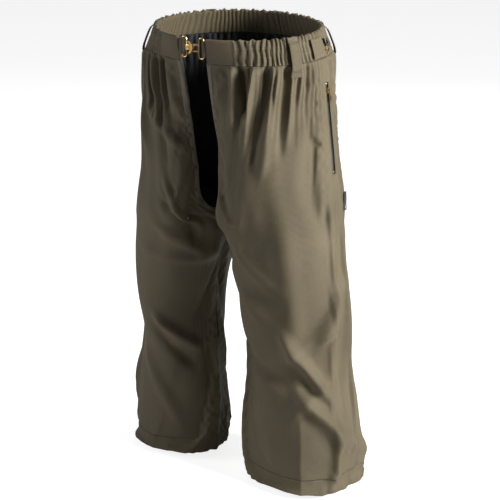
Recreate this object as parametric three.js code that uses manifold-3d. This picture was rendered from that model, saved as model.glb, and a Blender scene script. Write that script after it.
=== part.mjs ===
// Open-front over-chaps with a full seat: two leg tubes that share an elastic waist closed by a brass clasp.
// Millimetres, +Z up. The wearer faces -Y and the wearer's left is +X. The origin is the centre of the waist.
// Every cloth layer is a slab between two offsets of one surface, so layers follow each other everywhere.
import * as THREE from "three";
import { mergeVertices } from "three/addons/utils/BufferGeometryUtils.js";
import Module from "manifold-3d";

const wasm = await Module();
wasm.setup();

// ---------- driving dimensions ----------
const waistTop = 2; // height of the waistband's top edge at the sides
const waistTilt = 6.5; // how far the waist drops in front and rises behind
const waistbandHeight = 42;
const crotchDrop = 345; // crotch below the origin
const legLength = 450; // crotch to hem
const hemBand = 30;
const waistHalfWidth = 153;
const waistHalfDepth = 121;
const hipHalfWidth = 203;
const hipHalfDepth = 158;
const leftHemHalfWidth = 109;
const rightHemHalfWidth = 90;
const frontGapHalf = 29; // half of the opening between the two front edges
const thighHalfWidth = 106; // of each leg at the crotch
const leftKneeHalfWidth = 97;
const rightKneeHalfWidth = 82;
const stanceHalfWidth = 112; // leg centre from the middle at the crotch
const stride = 15; // how far the hems stand fore and aft of the middle, left back and right forward
const sideSeamAt = 0.54; // share of the way round a leg from inseam to inseam
const zipAt = 0.5;

const seamGap = 0.45; // bare space kept between two pieces that are sewn together
const shellCloth = 1.2;
const liningCloth = 0.8;
const tapeCloth = 0.8;
const bindingWidth = 9;
const bindingEdge = 1.3; // room between the raw edge and the binding's fold
const bindingLift = 1.7; // room between the shell and its outer turn
const bindingEase = 2.8; // room between the lining and the binding's inner turn
const padEdge = 0.8; // the pad's thickness at its sewn edge
const padTop = -110;
const padLoft = 4.2; // what the pad's layers add inside that edge

const elasticSpare = 3; // casing above and below the elastic
const elasticThick = 2.4;
const elasticStartsAt = 0.14;

const loopWidth = 18;
const loopLength = 62;
const loopStandOff = 5.2; // free height for a belt between loop and waistband
const loopPlaces = { front: 0.338, back: 0.7 };

const claspWire = 1.1; // wire radius
const claspLoopHeight = 36;
const claspLoopWidth = 12;
const claspInset = 5; // outer wire from the front edge of the waistband
const claspDrop = 22; // clasp centre below the origin
const eyeHalfHeight = 5.5; // centre of the eye's legs from the clasp's middle
const hookPlate = 2; // thickness of the crescent
const claspClearance = 0.4;
const crescentHalfHeight = 10.5;
const tabWrap = 1;
const claspTabHeight = 27;

const zipTop = -80;
const zipLength = 152;
const zipSlotWidth = 8;
const zipChainWidth = 4;
const zipChainHeight = 1.6;
const zipTapeWidth = 20;
const zipTapeThick = 0.6;
const bagThick = 1.4;
const bagRoom = 1.1; // between the zip's tape and the bag
const zipSunk = 3.2; // tape face below the shell's outer face
const sliderLength = 9;
const sliderWall = 0.9;
const sliderClearance = 0.4;
const pullerLength = 20;
const pullerWidth = 5;
const pullerThick = 1.2;
const lugRadius = 0.8;
const pullerEye = 2.2; // outer radius of the puller's eye
const lugHeight = pullerEye + 0.4; // pin's centre above the slider's roof

const ringWire = 1;
const ringWidth = 22;
const ringHeight = 15;
const ringStandOff = 5.9; // hinge line outside the waistband
const sideTabAt = [0.43, 0.51];
const ringAt = 0.541;
const sideTabStandOff = 2.2;
const sideTabCloth = 1.6;
const sideTabMargin = 2; // above the waistband's lower edge
const sideTabDrop = 10; // below its top edge
const labelHeight = 32;
const labelWidth = 12;
const labelRise = 77; // label's top above the crotch

const pocketDepth = zipSunk + zipTapeThick + bagRoom + bagThick + 1.15; // lining pushed in behind the zip
const crotch = -crotchDrop;
const hem = crotch - legLength;
const panelTop = waistTop - waistbandHeight;
const liningFront = -(shellCloth + padEdge + 2 * seamGap); // lining's outer face away from the pocket

const finishes = {
  shell: { color: 0x554b3a, roughness: 0.72, metalness: 0 },
  lining: { color: 0x0b0b0c, roughness: 0.85, metalness: 0 },
  binding: { color: 0x5d5342, roughness: 0.75, metalness: 0 },
  pad: { color: 0xd8d3c4, roughness: 0.95, metalness: 0 },
  elastic: { color: 0x161617, roughness: 0.9, metalness: 0 },
  webbing: { color: 0x1b1a18, roughness: 0.85, metalness: 0 },
  brass: { color: 0x9c7a45, roughness: 0.35, metalness: 1 },
  zip: { color: 0x202021, roughness: 0.6, metalness: 0.1 },
};

// ---------- the garment's surface ----------
const clamp01 = (x) => Math.min(1, Math.max(0, x));
function smooth(from, to, x) {
  const u = clamp01((x - from) / (to - from));
  return u * u * (3 - 2 * u);
}

// Cubic through [height, value] stations listed from the top down, with chord slopes.
function along(stations, z) {
  const s = stations;
  const h = Math.min(s[0][0], Math.max(s[s.length - 1][0], z));
  let i = 0;
  while (i < s.length - 2 && h < s[i + 1][0]) i += 1;
  const slope = (k) => {
    const a = s[Math.max(0, k - 1)];
    const b = s[Math.min(s.length - 1, k + 1)];
    return (b[1] - a[1]) / (b[0] - a[0]);
  };
  const d = s[i + 1][0] - s[i][0];
  const u = (h - s[i][0]) / d;
  const v = 1 - u;
  return (
    s[i][1] * (1 + 2 * u) * v * v +
    d * slope(i) * u * v * v +
    s[i + 1][1] * u * u * (3 - 2 * u) -
    d * slope(i + 1) * u * u * v
  );
}

// Heights as shares of the way down from waist to crotch, and from crotch to hem.
const downBody = (share) => waistTop + (crotch - waistTop) * share;
const downLeg = (share) => crotch + (hem - crotch) * share;
// The hip widens in a straight line past the zip, which can't bend.
const zipFoot = zipTop - zipLength;
const zipEase = 30;
const outerThigh = stanceHalfWidth + thighHalfWidth;
const inseamGap = stanceHalfWidth - thighHalfWidth; // from each inseam to the middle
const overZip = zipTop + zipEase;
const underZip = zipFoot - zipEase;
function besideZip(z) {
  const high = waistHalfWidth + 20;
  return high + ((hipHalfWidth - high) * (overZip - z)) / (overZip - underZip);
}
const hipWidthAt = [
  [waistTop, waistHalfWidth],
  [downBody(0.06), waistHalfWidth + 9],
  ...[overZip, zipTop, zipFoot, underZip].map((z) => [z, besideZip(z)]),
  [crotch, outerThigh],
];
const hipDepthAt = [
  [waistTop, waistHalfDepth],
  [downBody(0.06), waistHalfDepth + 8],
  [downBody(0.18), waistHalfDepth + 21],
  [downBody(0.32), hipHalfDepth - 6],
  [downBody(0.52), hipHalfDepth - 2],
  [crotch, hipHalfDepth - 1],
];
// Ellipses of each leg: centre and half-sizes across (x) and fore and aft (y).
const hips = downBody(0.52);
const thigh = downLeg(0.165);
const knee = downLeg(0.345);
const shin = downLeg(0.52);
const calf = downLeg(0.77);
const upperCentre = [
  [waistTop, stanceHalfWidth - 28], [hips, stanceHalfWidth - 14], [crotch, stanceHalfWidth],
];
const upperDepth = [
  [waistTop, thighHalfWidth + 6], [hips, thighHalfWidth + 10], [crotch, thighHalfWidth - 2],
];
const strideAt = [[waistTop, 0], [crotch, 0], [thigh, 0.2], [knee, 0.4], [shin, 0.6], [calf, 0.87], [hem, 1]];
const legs = {
  left: {
    sign: 1,
    cx: [...upperCentre, [thigh, stanceHalfWidth + 11],
      [knee, stanceHalfWidth + 14], [shin, stanceHalfWidth + 17],
      [calf, stanceHalfWidth + 26], [hem, stanceHalfWidth + 29]],
    rx: [[crotch, thighHalfWidth], [thigh, leftKneeHalfWidth],
      [knee, leftKneeHalfWidth], [shin, leftKneeHalfWidth],
      [calf, leftHemHalfWidth - 5], [hem, leftHemHalfWidth]],
    cy: strideAt.map(([z, share]) => [z, share * stride]),
    ry: [...upperDepth, [thigh, leftKneeHalfWidth - 1],
      [knee, leftKneeHalfWidth - 7], [shin, leftKneeHalfWidth - 9],
      [calf, leftHemHalfWidth - 11], [hem, leftHemHalfWidth - 5]],
  },
  right: {
    sign: -1,
    cx: [...upperCentre, [thigh, stanceHalfWidth + 16],
      [knee, stanceHalfWidth + 17], [shin, stanceHalfWidth + 8],
      [calf, stanceHalfWidth + 7], [hem, stanceHalfWidth + 11]],
    rx: [[crotch, thighHalfWidth], [thigh, rightKneeHalfWidth + 9],
      [knee, rightKneeHalfWidth + 1], [shin, rightKneeHalfWidth],
      [calf, rightHemHalfWidth], [hem, rightHemHalfWidth]],
    cy: strideAt.map(([z, share]) => [z, -share * stride]),
    ry: [...upperDepth, [thigh, rightKneeHalfWidth + 10],
      [knee, rightKneeHalfWidth + 4], [shin, rightKneeHalfWidth],
      [calf, rightHemHalfWidth - 6], [hem, rightHemHalfWidth - 6]],
  },
};
// The front edge: fore-and-aft place and half-gap at each height.
const edgeForeAt = [
  [waistTop, -waistHalfDepth - 8], [downBody(0.046), -waistHalfDepth - 6],
  [downBody(0.31), 13 - waistHalfDepth],
  [downBody(0.69), 45 - waistHalfDepth], [downBody(0.885), 63 - waistHalfDepth], [crotch, -4],
];
const edgeGapAt = [
  [waistTop, frontGapHalf + 1], [downBody(0.046), frontGapHalf], [downBody(0.31), frontGapHalf - 4],
  [downBody(0.69), frontGapHalf - 1], [downBody(0.885), frontGapHalf + 1], [crotch, inseamGap],
];
const seatFull = downBody(0.55); // height at which the seat seam has reached its full depth
const edgeReach = 0.3; // how far round the edge's own line pulls the front panel

// A point of one half's outer face. t runs from the front edge or inseam (0) over the side (0.5) to the back (1).
function surface(side, t, z) {
  const leg = legs[side];
  const [cx, cy, ry] = [leg.cx, leg.cy, leg.ry].map((s) => along(s, z));
  const a = along(hipWidthAt, z);
  const outerHalf = z > crotch ? a - cx : along(leg.rx, z);
  const innerHalf = z > crotch ? Math.min(a - cx, cx - inseamGap) : outerHalf;
  const b = along(hipDepthAt, z);
  const gap = along(edgeGapAt, z);
  const turn = -Math.PI + 2 * Math.PI * t;
  const first = -Math.PI / 2 + gap / a;
  const hipTurn = first + (Math.PI / 2 - first) * t;
  const above = z > crotch ? 1 : 0;
  const frontShare = above * smooth(crotch - 10, panelTop, z);
  const m = frontShare * (1 - t) + above * smooth(crotch, seatFull, z) * t;
  const rx = Math.cos(turn) > 0 ? outerHalf : innerHalf;
  let x = (cx + rx * Math.cos(turn)) * (1 - m) + a * Math.cos(hipTurn) * m;
  let y = (cy + ry * Math.sin(turn)) * (1 - m) + b * Math.sin(hipTurn) * m;
  const u = clamp01(t / edgeReach);
  const pull = (1 - u) ** 2 * (1 + 2 * u) * smooth(crotch, crotch + 30, z);
  x += pull * (gap - (cx - innerHalf) * (1 - frontShare) - a * Math.cos(first) * frontShare);
  y += pull * (along(edgeForeAt, z) - cy * (1 - frontShare) - b * Math.sin(first) * frontShare);
  const tilt = waistTilt * (y / waistHalfDepth) * smooth(downBody(0.58), waistTop, z);
  return new THREE.Vector3(leg.sign * x, y, z + tilt);
}

// Directions at a point: round the body (t up), up the garment (z up) and outwards.
function frameAt(side, t, z) {
  const dt = 0.004;
  const dz = 1.5;
  const t0 = Math.max(0, t - dt);
  const t1 = Math.min(1, t + dt);
  const z0 = Math.max(hem, z - dz);
  const z1 = Math.min(waistTop, z + dz);
  const round = surface(side, t1, z).sub(surface(side, t0, z)).normalize();
  const up = surface(side, t, z1).sub(surface(side, t, z0)).normalize();
  const out = round.clone().cross(up).multiplyScalar(legs[side].sign).normalize();
  return { round, up, out };
}
function offsetPoint(side, t, z, out) {
  return surface(side, t, z).addScaledVector(frameAt(side, t, z).out, out);
}
// The same for what lies on or in the waistband, whose wall is straight from its lower edge to its top.
function bandPoint(side, t, z, out) {
  if (z < panelTop) return offsetPoint(side, t, z, out);
  const share = (z - panelTop) / waistbandHeight;
  return offsetPoint(side, t, panelTop, out).lerp(offsetPoint(side, t, waistTop, out), share);
}

// ---------- closed meshes ----------
function closedMesh(points, faces) {
  const g = new THREE.BufferGeometry();
  const position = new Float32Array(points.flatMap((p) => [p.x, p.y, p.z]));
  g.setAttribute("position", new THREE.BufferAttribute(position, 3));
  const volume = faces.reduce((sum, [a, b, c]) => {
    const n = points[b].clone().cross(points[c]);
    return sum + points[a].dot(n);
  }, 0);
  g.setIndex(faces.flatMap(([a, b, c]) => (volume < 0 ? [a, c, b] : [a, b, c])));
  return g;
}

// Rings of equal length joined into a solid. Its ends are capped, or it closes on itself.
// A four-sided facet is split along one diagonal, or along the other where turned(ring, side) says so.
function ringsSolid(rings, closes = false, turned = () => false) {
  const n = rings[0].length;
  const points = rings.flat();
  const faces = [];
  const last = closes ? rings.length : rings.length - 1;
  for (let i = 0; i < last; i += 1) {
    const here = i * n;
    const next = ((i + 1) % rings.length) * n;
    for (let j = 0; j < n; j += 1) {
      const k = (j + 1) % n;
      if (turned(i, j)) faces.push([here + j, here + k, next + j], [here + k, next + k, next + j]);
      else faces.push([here + j, here + k, next + k], [here + j, next + k, next + j]);
    }
  }
  if (!closes) {
    [0, rings.length - 1].forEach((i) => {
      const ring = rings[i];
      const across = ring[1].clone().sub(ring[0]);
      const normal = new THREE.Vector3();
      ring.forEach((p, j) => {
        const q = ring[(j + 1) % n];
        normal.add(p.clone().sub(ring[0]).cross(q.clone().sub(ring[0])));
      });
      const e = across.normalize();
      const f = normal.normalize().clone().cross(e);
      const flat = ring.map((p) => new THREE.Vector2(p.dot(e), p.dot(f)));
      THREE.ShapeUtils.triangulateShape(flat, []).forEach(([a, b, c]) => {
        faces.push(i ? [i * n + a, i * n + b, i * n + c] : [a, c, b]);
      });
    });
  }
  return closedMesh(points, faces);
}

// A slab of cloth between two offsets over stations in t and z.
function slab(side, ts, zs, outer, inner) {
  const rings = zs.map((z) => [
    ...ts.map((t) => offsetPoint(side, t, z, outer(t, z))),
    ...[...ts].reverse().map((t) => offsetPoint(side, t, z, inner(t, z))),
  ]);
  return ringsSolidWide(rings, ts.length);
}
// Like ringsSolid for rings that are a wide flat band: the caps are strips between the band's two faces.
function ringsSolidWide(rings, half) {
  const n = rings[0].length;
  const points = rings.flat();
  const faces = [];
  for (let i = 0; i < rings.length - 1; i += 1) {
    for (let j = 0; j < n; j += 1) {
      const k = (j + 1) % n;
      const [a, b, c, d] = [i * n + j, i * n + k, i * n + n + k, i * n + n + j];
      // Both faces of the band are split along the same diagonal, so stacked layers stay parallel.
      faces.push(...(j < half ? [[a, b, c], [a, c, d]] : [[a, b, d], [b, c, d]]));
    }
  }
  [0, rings.length - 1].forEach((i) => {
    for (let j = 0; j < half - 1; j += 1) {
      const [a, b, c, d] = [j, j + 1, n - 2 - j, n - 1 - j].map((q) => i * n + q);
      faces.push(...(i ? [[a, b, c], [a, c, d]] : [[a, c, b], [a, d, c]]));
    }
  });
  return closedMesh(points, faces);
}

function asManifold(geometry) {
  const g = geometry.index ? geometry.toNonIndexed() : geometry.clone();
  g.deleteAttribute("normal");
  g.deleteAttribute("uv");
  const merged = mergeVertices(g, 1e-4);
  return new wasm.Manifold(
    new wasm.Mesh({
      numProp: 3,
      vertProperties: merged.attributes.position.array,
      triVerts: new Uint32Array(merged.index.array),
    }),
  );
}
function asGeometry(solid) {
  const mesh = solid.getMesh();
  const g = new THREE.BufferGeometry();
  g.setAttribute("position", new THREE.BufferAttribute(mesh.vertProperties, 3));
  g.setIndex(new THREE.BufferAttribute(mesh.triVerts, 1));
  return g;
}
const joined = (...parts) => asGeometry(parts.map(asManifold).reduce((a, b) => a.add(b)));
const cutFrom = (whole, ...tools) => {
  const left = tools.map(asManifold).reduce((a, b) => a.subtract(b), asManifold(whole));
  return asGeometry(left);
};
const moved = (g, x, y, z) => g.clone().translate(x, y, z);
const box = (x, y, z) => new THREE.BoxGeometry(x, y, z);

// A wire ring through the corners of a flat outline in x and z, each corner rounded.
function wireRing(corners, bend, radius) {
  const sides = 8;
  const arcSteps = 3;
  const rings = [];
  corners.forEach((corner, i) => {
    const before = corners.at(i - 1);
    const after = corners[(i + 1) % corners.length];
    const start = corner.clone().add(before.clone().sub(corner).setLength(bend));
    const finish = corner.clone().add(after.clone().sub(corner).setLength(bend));
    const arc = new THREE.QuadraticBezierCurve(start, corner, finish);
    for (let k = 0; k <= arcSteps; k += 1) {
      const p = arc.getPoint(k / arcSteps);
      const dir = arc.getTangent(k / arcSteps);
      const ring = [];
      for (let q = 0; q < sides; q += 1) {
        const turn = (2 * Math.PI * q) / sides;
        const inPlane = radius * Math.cos(turn);
        ring.push(new THREE.Vector3(p.x + dir.y * inPlane, radius * Math.sin(turn), p.y - dir.x * inPlane));
      }
      rings.push(ring);
    }
  });
  return ringsSolid(rings, true);
}

const chaps = new THREE.Group();
function add(name, finish, geometry, parent = chaps) {
  const material = new THREE.MeshStandardMaterial(finishes[finish]);
  material.side = THREE.FrontSide;
  const mesh = new THREE.Mesh(geometry, material);
  mesh.name = name;
  parent.add(mesh);
  return mesh;
}

// ---------- stations shared by all cloth layers ----------
const roundGap = 0.0012; // seam allowance at the inseam and centre back, as a share of the way round
const frontStations = [roundGap, 0.04, 0.1, 0.16, 0.22, 0.28, 0.34, 0.4, 0.46, zipAt, sideSeamAt - roundGap];
const backStations = [sideSeamAt + roundGap, 0.6, 0.66, 0.73, 0.8, 0.87, 0.94, 1 - roundGap];
const padFoot = hem + hemBand + 8;
const bagTop = zipTop + 20;
const bagFoot = zipTop - zipLength - 33;
// Heights from low to high that include every break and leave no step longer than the given one.
function heights(breaks, step) {
  return breaks.flatMap((z, i) => {
    if (!i) return [z];
    const count = Math.max(1, Math.ceil((z - breaks[i - 1]) / step));
    return Array.from({ length: count }, (_, k) => breaks[i - 1] + ((z - breaks[i - 1]) * (k + 1)) / count);
  });
}
const saddle = [-95, -50, -20, 0, 20, 30, 40].map((h) => crotch + h);
const breaks = [hem + hemBand + seamGap, padFoot, ...saddle, bagFoot, padTop, bagTop, panelTop];
const panelHeights = heights(breaks.sort((low, high) => low - high), 60);
const between = (low, high) => panelHeights.filter((z) => z >= low && z <= high);
const padHeights = between(padFoot, padTop);
const padStations = frontStations.slice(1, 7);
const bagHeights = between(bagFoot, bagTop);
const bagStations = frontStations.slice(7);

// How far the pad and the pocket push the lining inwards at a place, from 0 to 1.
function padShare(t, z) {
  const [first, last] = [padStations[0], padStations.at(-1)];
  const [low, high] = [padHeights[0], padHeights.at(-1)];
  const round = smooth(first, first + 0.06, t) * smooth(last, last - 0.06, t);
  return round * smooth(low, low + 40, z) * smooth(high, high - 40, z);
}
function pocketShare(t, z) {
  const [low, high] = [bagHeights[0], bagHeights.at(-1)];
  return smooth(bagStations[0] - 0.06, bagStations[0], t) * smooth(sideSeamAt + 0.06, sideSeamAt, t) *
    smooth(low - 40, low, z) * smooth(high + 20, high, z);
}
const liningAt = (t, z) => liningFront - Math.max(padLoft * padShare(t, z), pocketDepth * pocketShare(t, z));

// ---------- zip frame: a straight line on the hip that all zip pieces share ----------
function zipFrame(side) {
  const top = surface(side, zipAt, zipTop);
  const bottom = surface(side, zipAt, zipTop - zipLength);
  const up = top.clone().sub(bottom).normalize();
  const lean = frameAt(side, zipAt, zipTop - zipLength / 2);
  const out = lean.out.clone().addScaledVector(up, -lean.out.dot(up)).normalize();
  const across = out.clone().cross(up);
  return new THREE.Matrix4().makeBasis(across, out, up).setPosition(top);
}
// In the zip's frame x is across, y is outwards and z is up, with the top end at z = 0.
const onZip = (side, g) => g.clone().applyMatrix4(zipFrame(side));
const chainMiddle = -zipSunk + 0.3 + zipChainHeight / 2;
const sliderRest = -14;

function frontPanel(side) {
  const cloth = slab(side, frontStations, panelHeights, () => 0, () => -shellCloth);
  const slot = moved(box(zipSlotWidth, 16, zipLength), 0, 0, -zipLength / 2);
  return cutFrom(cloth, onZip(side, slot));
}
const backPanel = (side) => slab(side, backStations, panelHeights, () => 0, () => -shellCloth);
function lining(side) {
  const zs = [hem + 12, ...panelHeights];
  const ts = [...frontStations, ...backStations];
  return slab(side, ts, zs, liningAt, (t, z) => liningAt(t, z) - liningCloth);
}
function legPad(side) {
  const face = -(shellCloth + seamGap);
  const back = (t, z) => face - padEdge - (padLoft - seamGap) * padShare(t, z);
  return slab(side, padStations, padHeights, () => face, back);
}
function pocketBag(side) {
  const face = -(zipSunk + zipTapeThick + bagRoom);
  return slab(side, bagStations, bagHeights, () => face, () => face - bagThick);
}

// The turned hem is a closed band with a flat lower edge.
function hemRing(side) {
  const ts = [...frontStations, ...backStations.slice(0, -1)];
  const zs = [hem, hem + hemBand];
  const rings = ts.map((t) => [
    offsetPoint(side, t, zs[0], 0).setZ(zs[0]),
    offsetPoint(side, t, zs[1], 0).setZ(zs[1]),
    offsetPoint(side, t, zs[1], -2 * shellCloth).setZ(zs[1]),
    offsetPoint(side, t, zs[0], -2 * shellCloth).setZ(zs[0]),
  ]);
  return ringsSolid(rings, true);
}

// The waistband is an upside-down U in section that holds the elastic.
const bandInner = -(shellCloth + elasticThick + 3 * seamGap + shellCloth);
const bandStations = [
  roundGap, 0.04, 0.09, elasticStartsAt, 0.2, 0.27, 0.34, 0.4, 0.46,
  0.52, 0.58, 0.66, 0.73, 0.8, 0.87, 0.94, 1 - roundGap,
];
function waistband(side) {
  const low = panelTop + seamGap;
  const rings = bandStations.map((t) => [
    bandPoint(side, t, low, 0),
    bandPoint(side, t, waistTop, 0),
    bandPoint(side, t, waistTop, bandInner),
    bandPoint(side, t, low, bandInner),
    bandPoint(side, t, low, bandInner + shellCloth),
    bandPoint(side, t, waistTop - shellCloth, bandInner + shellCloth),
    bandPoint(side, t, waistTop - shellCloth, -shellCloth),
    bandPoint(side, t, low, -shellCloth),
  ]);
  // Both faces of a cloth wall are split the same way, so they stay parallel where the wall twists.
  return ringsSolid(rings, false, (i, j) => [2, 5, 6].includes(j));
}
function waistElastic() {
  const high = waistTop - shellCloth - elasticSpare;
  const low = panelTop + elasticSpare + seamGap;
  const face = -(shellCloth + 1.5 * seamGap);
  const ring = (side, t) => [
    bandPoint(side, t, low, face),
    bandPoint(side, t, high, face),
    bandPoint(side, t, high, face - elasticThick),
    bandPoint(side, t, low, face - elasticThick),
  ];
  const ts = bandStations.filter((t) => t >= elasticStartsAt);
  const rings = [...ts.map((t) => ring("left", t)), ...[...ts].reverse().map((t) => ring("right", t))];
  return ringsSolid(rings, false, (i, j) => (i < ts.length) === (j === 2));
}

// Folded tape over the raw front edge of shell and lining.
const bindingHeights = [...between(crotch + 20, panelTop - 1), panelTop - seamGap];
function frontBinding(side) {
  const back = liningFront - liningCloth - bindingEase;
  const fold = -bindingEdge;
  const end = fold - tapeCloth;
  const profile = [
    [bindingWidth, bindingLift], [bindingWidth, bindingLift + tapeCloth],
    [end, bindingLift + tapeCloth], [end, back - tapeCloth],
    [bindingWidth, back - tapeCloth], [bindingWidth, back],
    [fold, back], [fold, bindingLift],
  ];
  const rings = bindingHeights.map((z) => {
    const edge = surface(side, frontStations[0], z);
    const round = surface(side, frontStations[1], z).sub(edge).normalize();
    const { up } = frameAt(side, frontStations[0], z);
    const out = round.clone().cross(up).multiplyScalar(legs[side].sign).normalize();
    return profile.map(([s, o]) => edge.clone().addScaledVector(round, s).addScaledVector(out, o));
  });
  return ringsSolid(rings);
}

// The gusset joins the halves under the crotch, from the foot of the front opening to the seat seam.
function crotchGusset() {
  const keep = 1.6;
  const front = [15, 10, 5].map((h) => [roundGap, crotch + h]);
  const back = [6, 16, 30, 48, 70].map((h) => [1 - roundGap, crotch + h]);
  const line = [...front, ...back].map(([t, z]) => surface("left", t, z));
  const rings = line.map((p, i) => {
    const before = line[Math.max(0, i - 1)];
    const after = line[Math.min(line.length - 1, i + 1)];
    const dir = new THREE.Vector3(0, after.y - before.y, after.z - before.z).normalize();
    const out = new THREE.Vector3(0, dir.z, -dir.y);
    const half = Math.max(0.8, p.x - keep);
    const at = (x, o) => new THREE.Vector3(x, p.y, p.z).addScaledVector(out, o);
    return [at(-half, 0), at(half, 0), at(half, -shellCloth), at(-half, -shellCloth)];
  });
  return ringsSolid(rings);
}

// A belt loop: a strap sewn down at both ends and standing off the waistband between them.
function beltLoop(side, t) {
  const { round } = frameAt(side, t, -20);
  const lift = [seamGap, seamGap, loopStandOff, loopStandOff, seamGap, seamGap];
  const run = [0, 7, 11, loopLength - 11, loopLength - 7, loopLength];
  const strap = 1.4;
  const rings = run.map((d, i) => {
    const z = waistTop - 1 - d;
    const { out } = frameAt(side, t, z);
    const at = (s, o) => bandPoint(side, t, z, 0).addScaledVector(round, s).addScaledVector(out, o);
    const bend = (loopWidth / 2) ** 2 / (2 * 150);
    return [
      at(-loopWidth / 2, lift[i]), at(loopWidth / 2, lift[i]),
      at(loopWidth / 2, lift[i] + strap + bend), at(-loopWidth / 2, lift[i] + strap + bend),
    ];
  });
  return ringsSolid(rings);
}

// ---------- clasp ----------
// x runs across towards the wearer's left, y inwards and z up, from the middle of the gap.
const claspY = along(edgeForeAt, -claspDrop) + 2.2;
const claspAxis = frontGapHalf - claspInset - claspWire;
const claspInner = frontGapHalf - claspInset - claspLoopWidth + claspWire;
const claspTall = claspLoopHeight / 2 - claspWire;
const eyeBar = -2.7; // centre of the eye's cross bar
const tongueFrom = eyeBar + claspWire + claspClearance;

function claspLoop(sign) {
  const outline = [
    [claspInner, -claspTall], [claspAxis, -claspTall], [claspAxis, claspTall], [claspInner, claspTall],
  ];
  return wireRing(outline.map(([x, z]) => new THREE.Vector2(sign * x, z)), 4, claspWire);
}
function claspHook() {
  const front = -(claspWire + claspClearance);
  const stemEnd = eyeBar - claspWire - 1.2;
  const stemFrom = -claspInner;
  const stem = box(stemEnd - stemFrom, claspWire - front + hookPlate, 8);
  stem.translate((stemEnd + stemFrom) / 2, (claspWire + front - hookPlate) / 2, 0);
  const crescent = new THREE.Shape();
  crescent.absarc(-crescentHalfHeight, 0, crescentHalfHeight + 1.5, -1.05, 1.05, false);
  crescent.absarc(-crescentHalfHeight - 5.5, 0, crescentHalfHeight + 1.8, 0.95, -0.95, true);
  const flat = { depth: hookPlate, bevelEnabled: false, curveSegments: 10 };
  const plate = new THREE.ExtrudeGeometry(crescent, flat);
  plate.rotateX(Math.PI / 2).translate(0, front, 0);
  const tongueTo = 0.8;
  const tongueReach = 3.5;
  const tongue = box(tongueTo - tongueFrom, tongueReach - front + 0.5, 6);
  tongue.translate((tongueTo + tongueFrom) / 2, (tongueReach + front - 0.5) / 2, 0);
  const bridge = box(tongueTo - stemEnd + 1, hookPlate, 6);
  bridge.translate((tongueTo + stemEnd - 1) / 2, front - hookPlate / 2, 0);
  return joined(claspLoop(-1), stem, plate, bridge, tongue);
}
function claspEye() {
  const legLong = claspInner - eyeBar;
  const rod = (length) => new THREE.CylinderGeometry(claspWire, claspWire, length, 10);
  const leg = (z) => rod(legLong).rotateZ(Math.PI / 2).translate(eyeBar + legLong / 2, 0, z);
  const bar = rod(2 * eyeHalfHeight + 2 * claspWire * 0.9).rotateX(Math.PI / 2).translate(eyeBar, 0, 0);
  return joined(claspLoop(1), leg(eyeHalfHeight), leg(-eyeHalfHeight), bar);
}
// Cloth folded round a loop's outer leg and sewn to the front end of the waistband.
function claspTab(sign) {
  const inner = claspWire + claspClearance;
  const outer = inner + tabWrap;
  const reach = frontGapHalf - 1.4 - claspAxis;
  const s = new THREE.Shape();
  s.moveTo(reach, -outer).lineTo(0, -outer).absarc(0, 0, outer, -Math.PI / 2, Math.PI / 2, true);
  s.lineTo(reach, outer).lineTo(reach, -outer);
  s.holes.push(new THREE.Path().absarc(0, 0, inner, 0, 2 * Math.PI, false));
  const g = new THREE.ExtrudeGeometry(s, { depth: claspTabHeight, bevelEnabled: false, curveSegments: 10 });
  g.translate(0, 0, -claspTabHeight / 2);
  if (sign < 0) g.rotateZ(Math.PI);
  return g.translate(sign * claspAxis, 0, 0);
}

// ---------- zip ----------
const zipTape = () => {
  const tape = box(zipTapeWidth, zipTapeThick, zipLength + 10);
  return moved(tape, 0, -zipSunk - zipTapeThick / 2, -zipLength / 2);
};
const zipTeeth = () => {
  const chain = box(zipChainWidth, zipChainHeight, zipLength - 8);
  return moved(chain, 0, chainMiddle, -zipLength / 2);
};
const stopSize = [zipChainWidth + 1, zipChainHeight + 0.8, 3];
const zipStop = (z) => moved(box(...stopSize), 0, chainMiddle + 0.4, z);
function zipSlider() {
  const roofLow = chainMiddle + zipChainHeight / 2 + sliderClearance;
  const halfIn = zipChainWidth / 2 + sliderClearance;
  const wide = 2 * (halfIn + sliderWall);
  const roof = moved(box(wide, sliderWall, sliderLength), 0, roofLow + sliderWall / 2, 0);
  const tall = roofLow - (chainMiddle - zipChainHeight / 2) + 0.4;
  const wall = (x) => moved(box(sliderWall, tall, sliderLength), x, roofLow - tall / 2 + 0.2, 0);
  const cheekTall = lugHeight + lugRadius + 0.6;
  const cheek = (x) => moved(box(0.9, cheekTall, 3.4), x, roofLow + sliderWall + cheekTall / 2 - 0.2, 1);
  const pin = new THREE.CylinderGeometry(lugRadius, lugRadius, 3.6, 10).rotateZ(Math.PI / 2);
  pin.translate(0, roofLow + sliderWall + lugHeight, 1);
  const x = halfIn + sliderWall / 2;
  return joined(roof, wall(x), wall(-x), cheek(1.6), cheek(-1.6), pin);
}
// The puller hangs from the slider's pin, its eye round the pin and its plate downwards.
function zipPuller() {
  const eye = new THREE.Shape().absarc(0, 0, pullerEye, 0, 2 * Math.PI, false);
  eye.holes.push(new THREE.Path().absarc(0, 0, lugRadius + 0.35, 0, 2 * Math.PI, false));
  const ring = new THREE.ExtrudeGeometry(eye, { depth: 1.3, bevelEnabled: false, curveSegments: 6 });
  ring.rotateY(Math.PI / 2).translate(-0.65, 0, 0);
  const neck = moved(box(1.3, 1.4, 5), 0, 0.9, -3.6);
  const plate = moved(box(pullerWidth, pullerThick, pullerLength - 6), 0, 1.3, -6 - (pullerLength - 6) / 2 + 1);
  return joined(ring, neck, plate);
}

// ---------- side tab, V ring and its strap ----------
function sideTab(side) {
  const [t0, t1] = sideTabAt;
  const ts = [t0, (t0 + t1) / 2, t1];
  const zs = [panelTop + sideTabMargin, waistTop - waistbandHeight / 2, waistTop - sideTabDrop];
  return slab(side, ts, zs, () => sideTabStandOff + sideTabCloth, () => sideTabStandOff);
}
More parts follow.
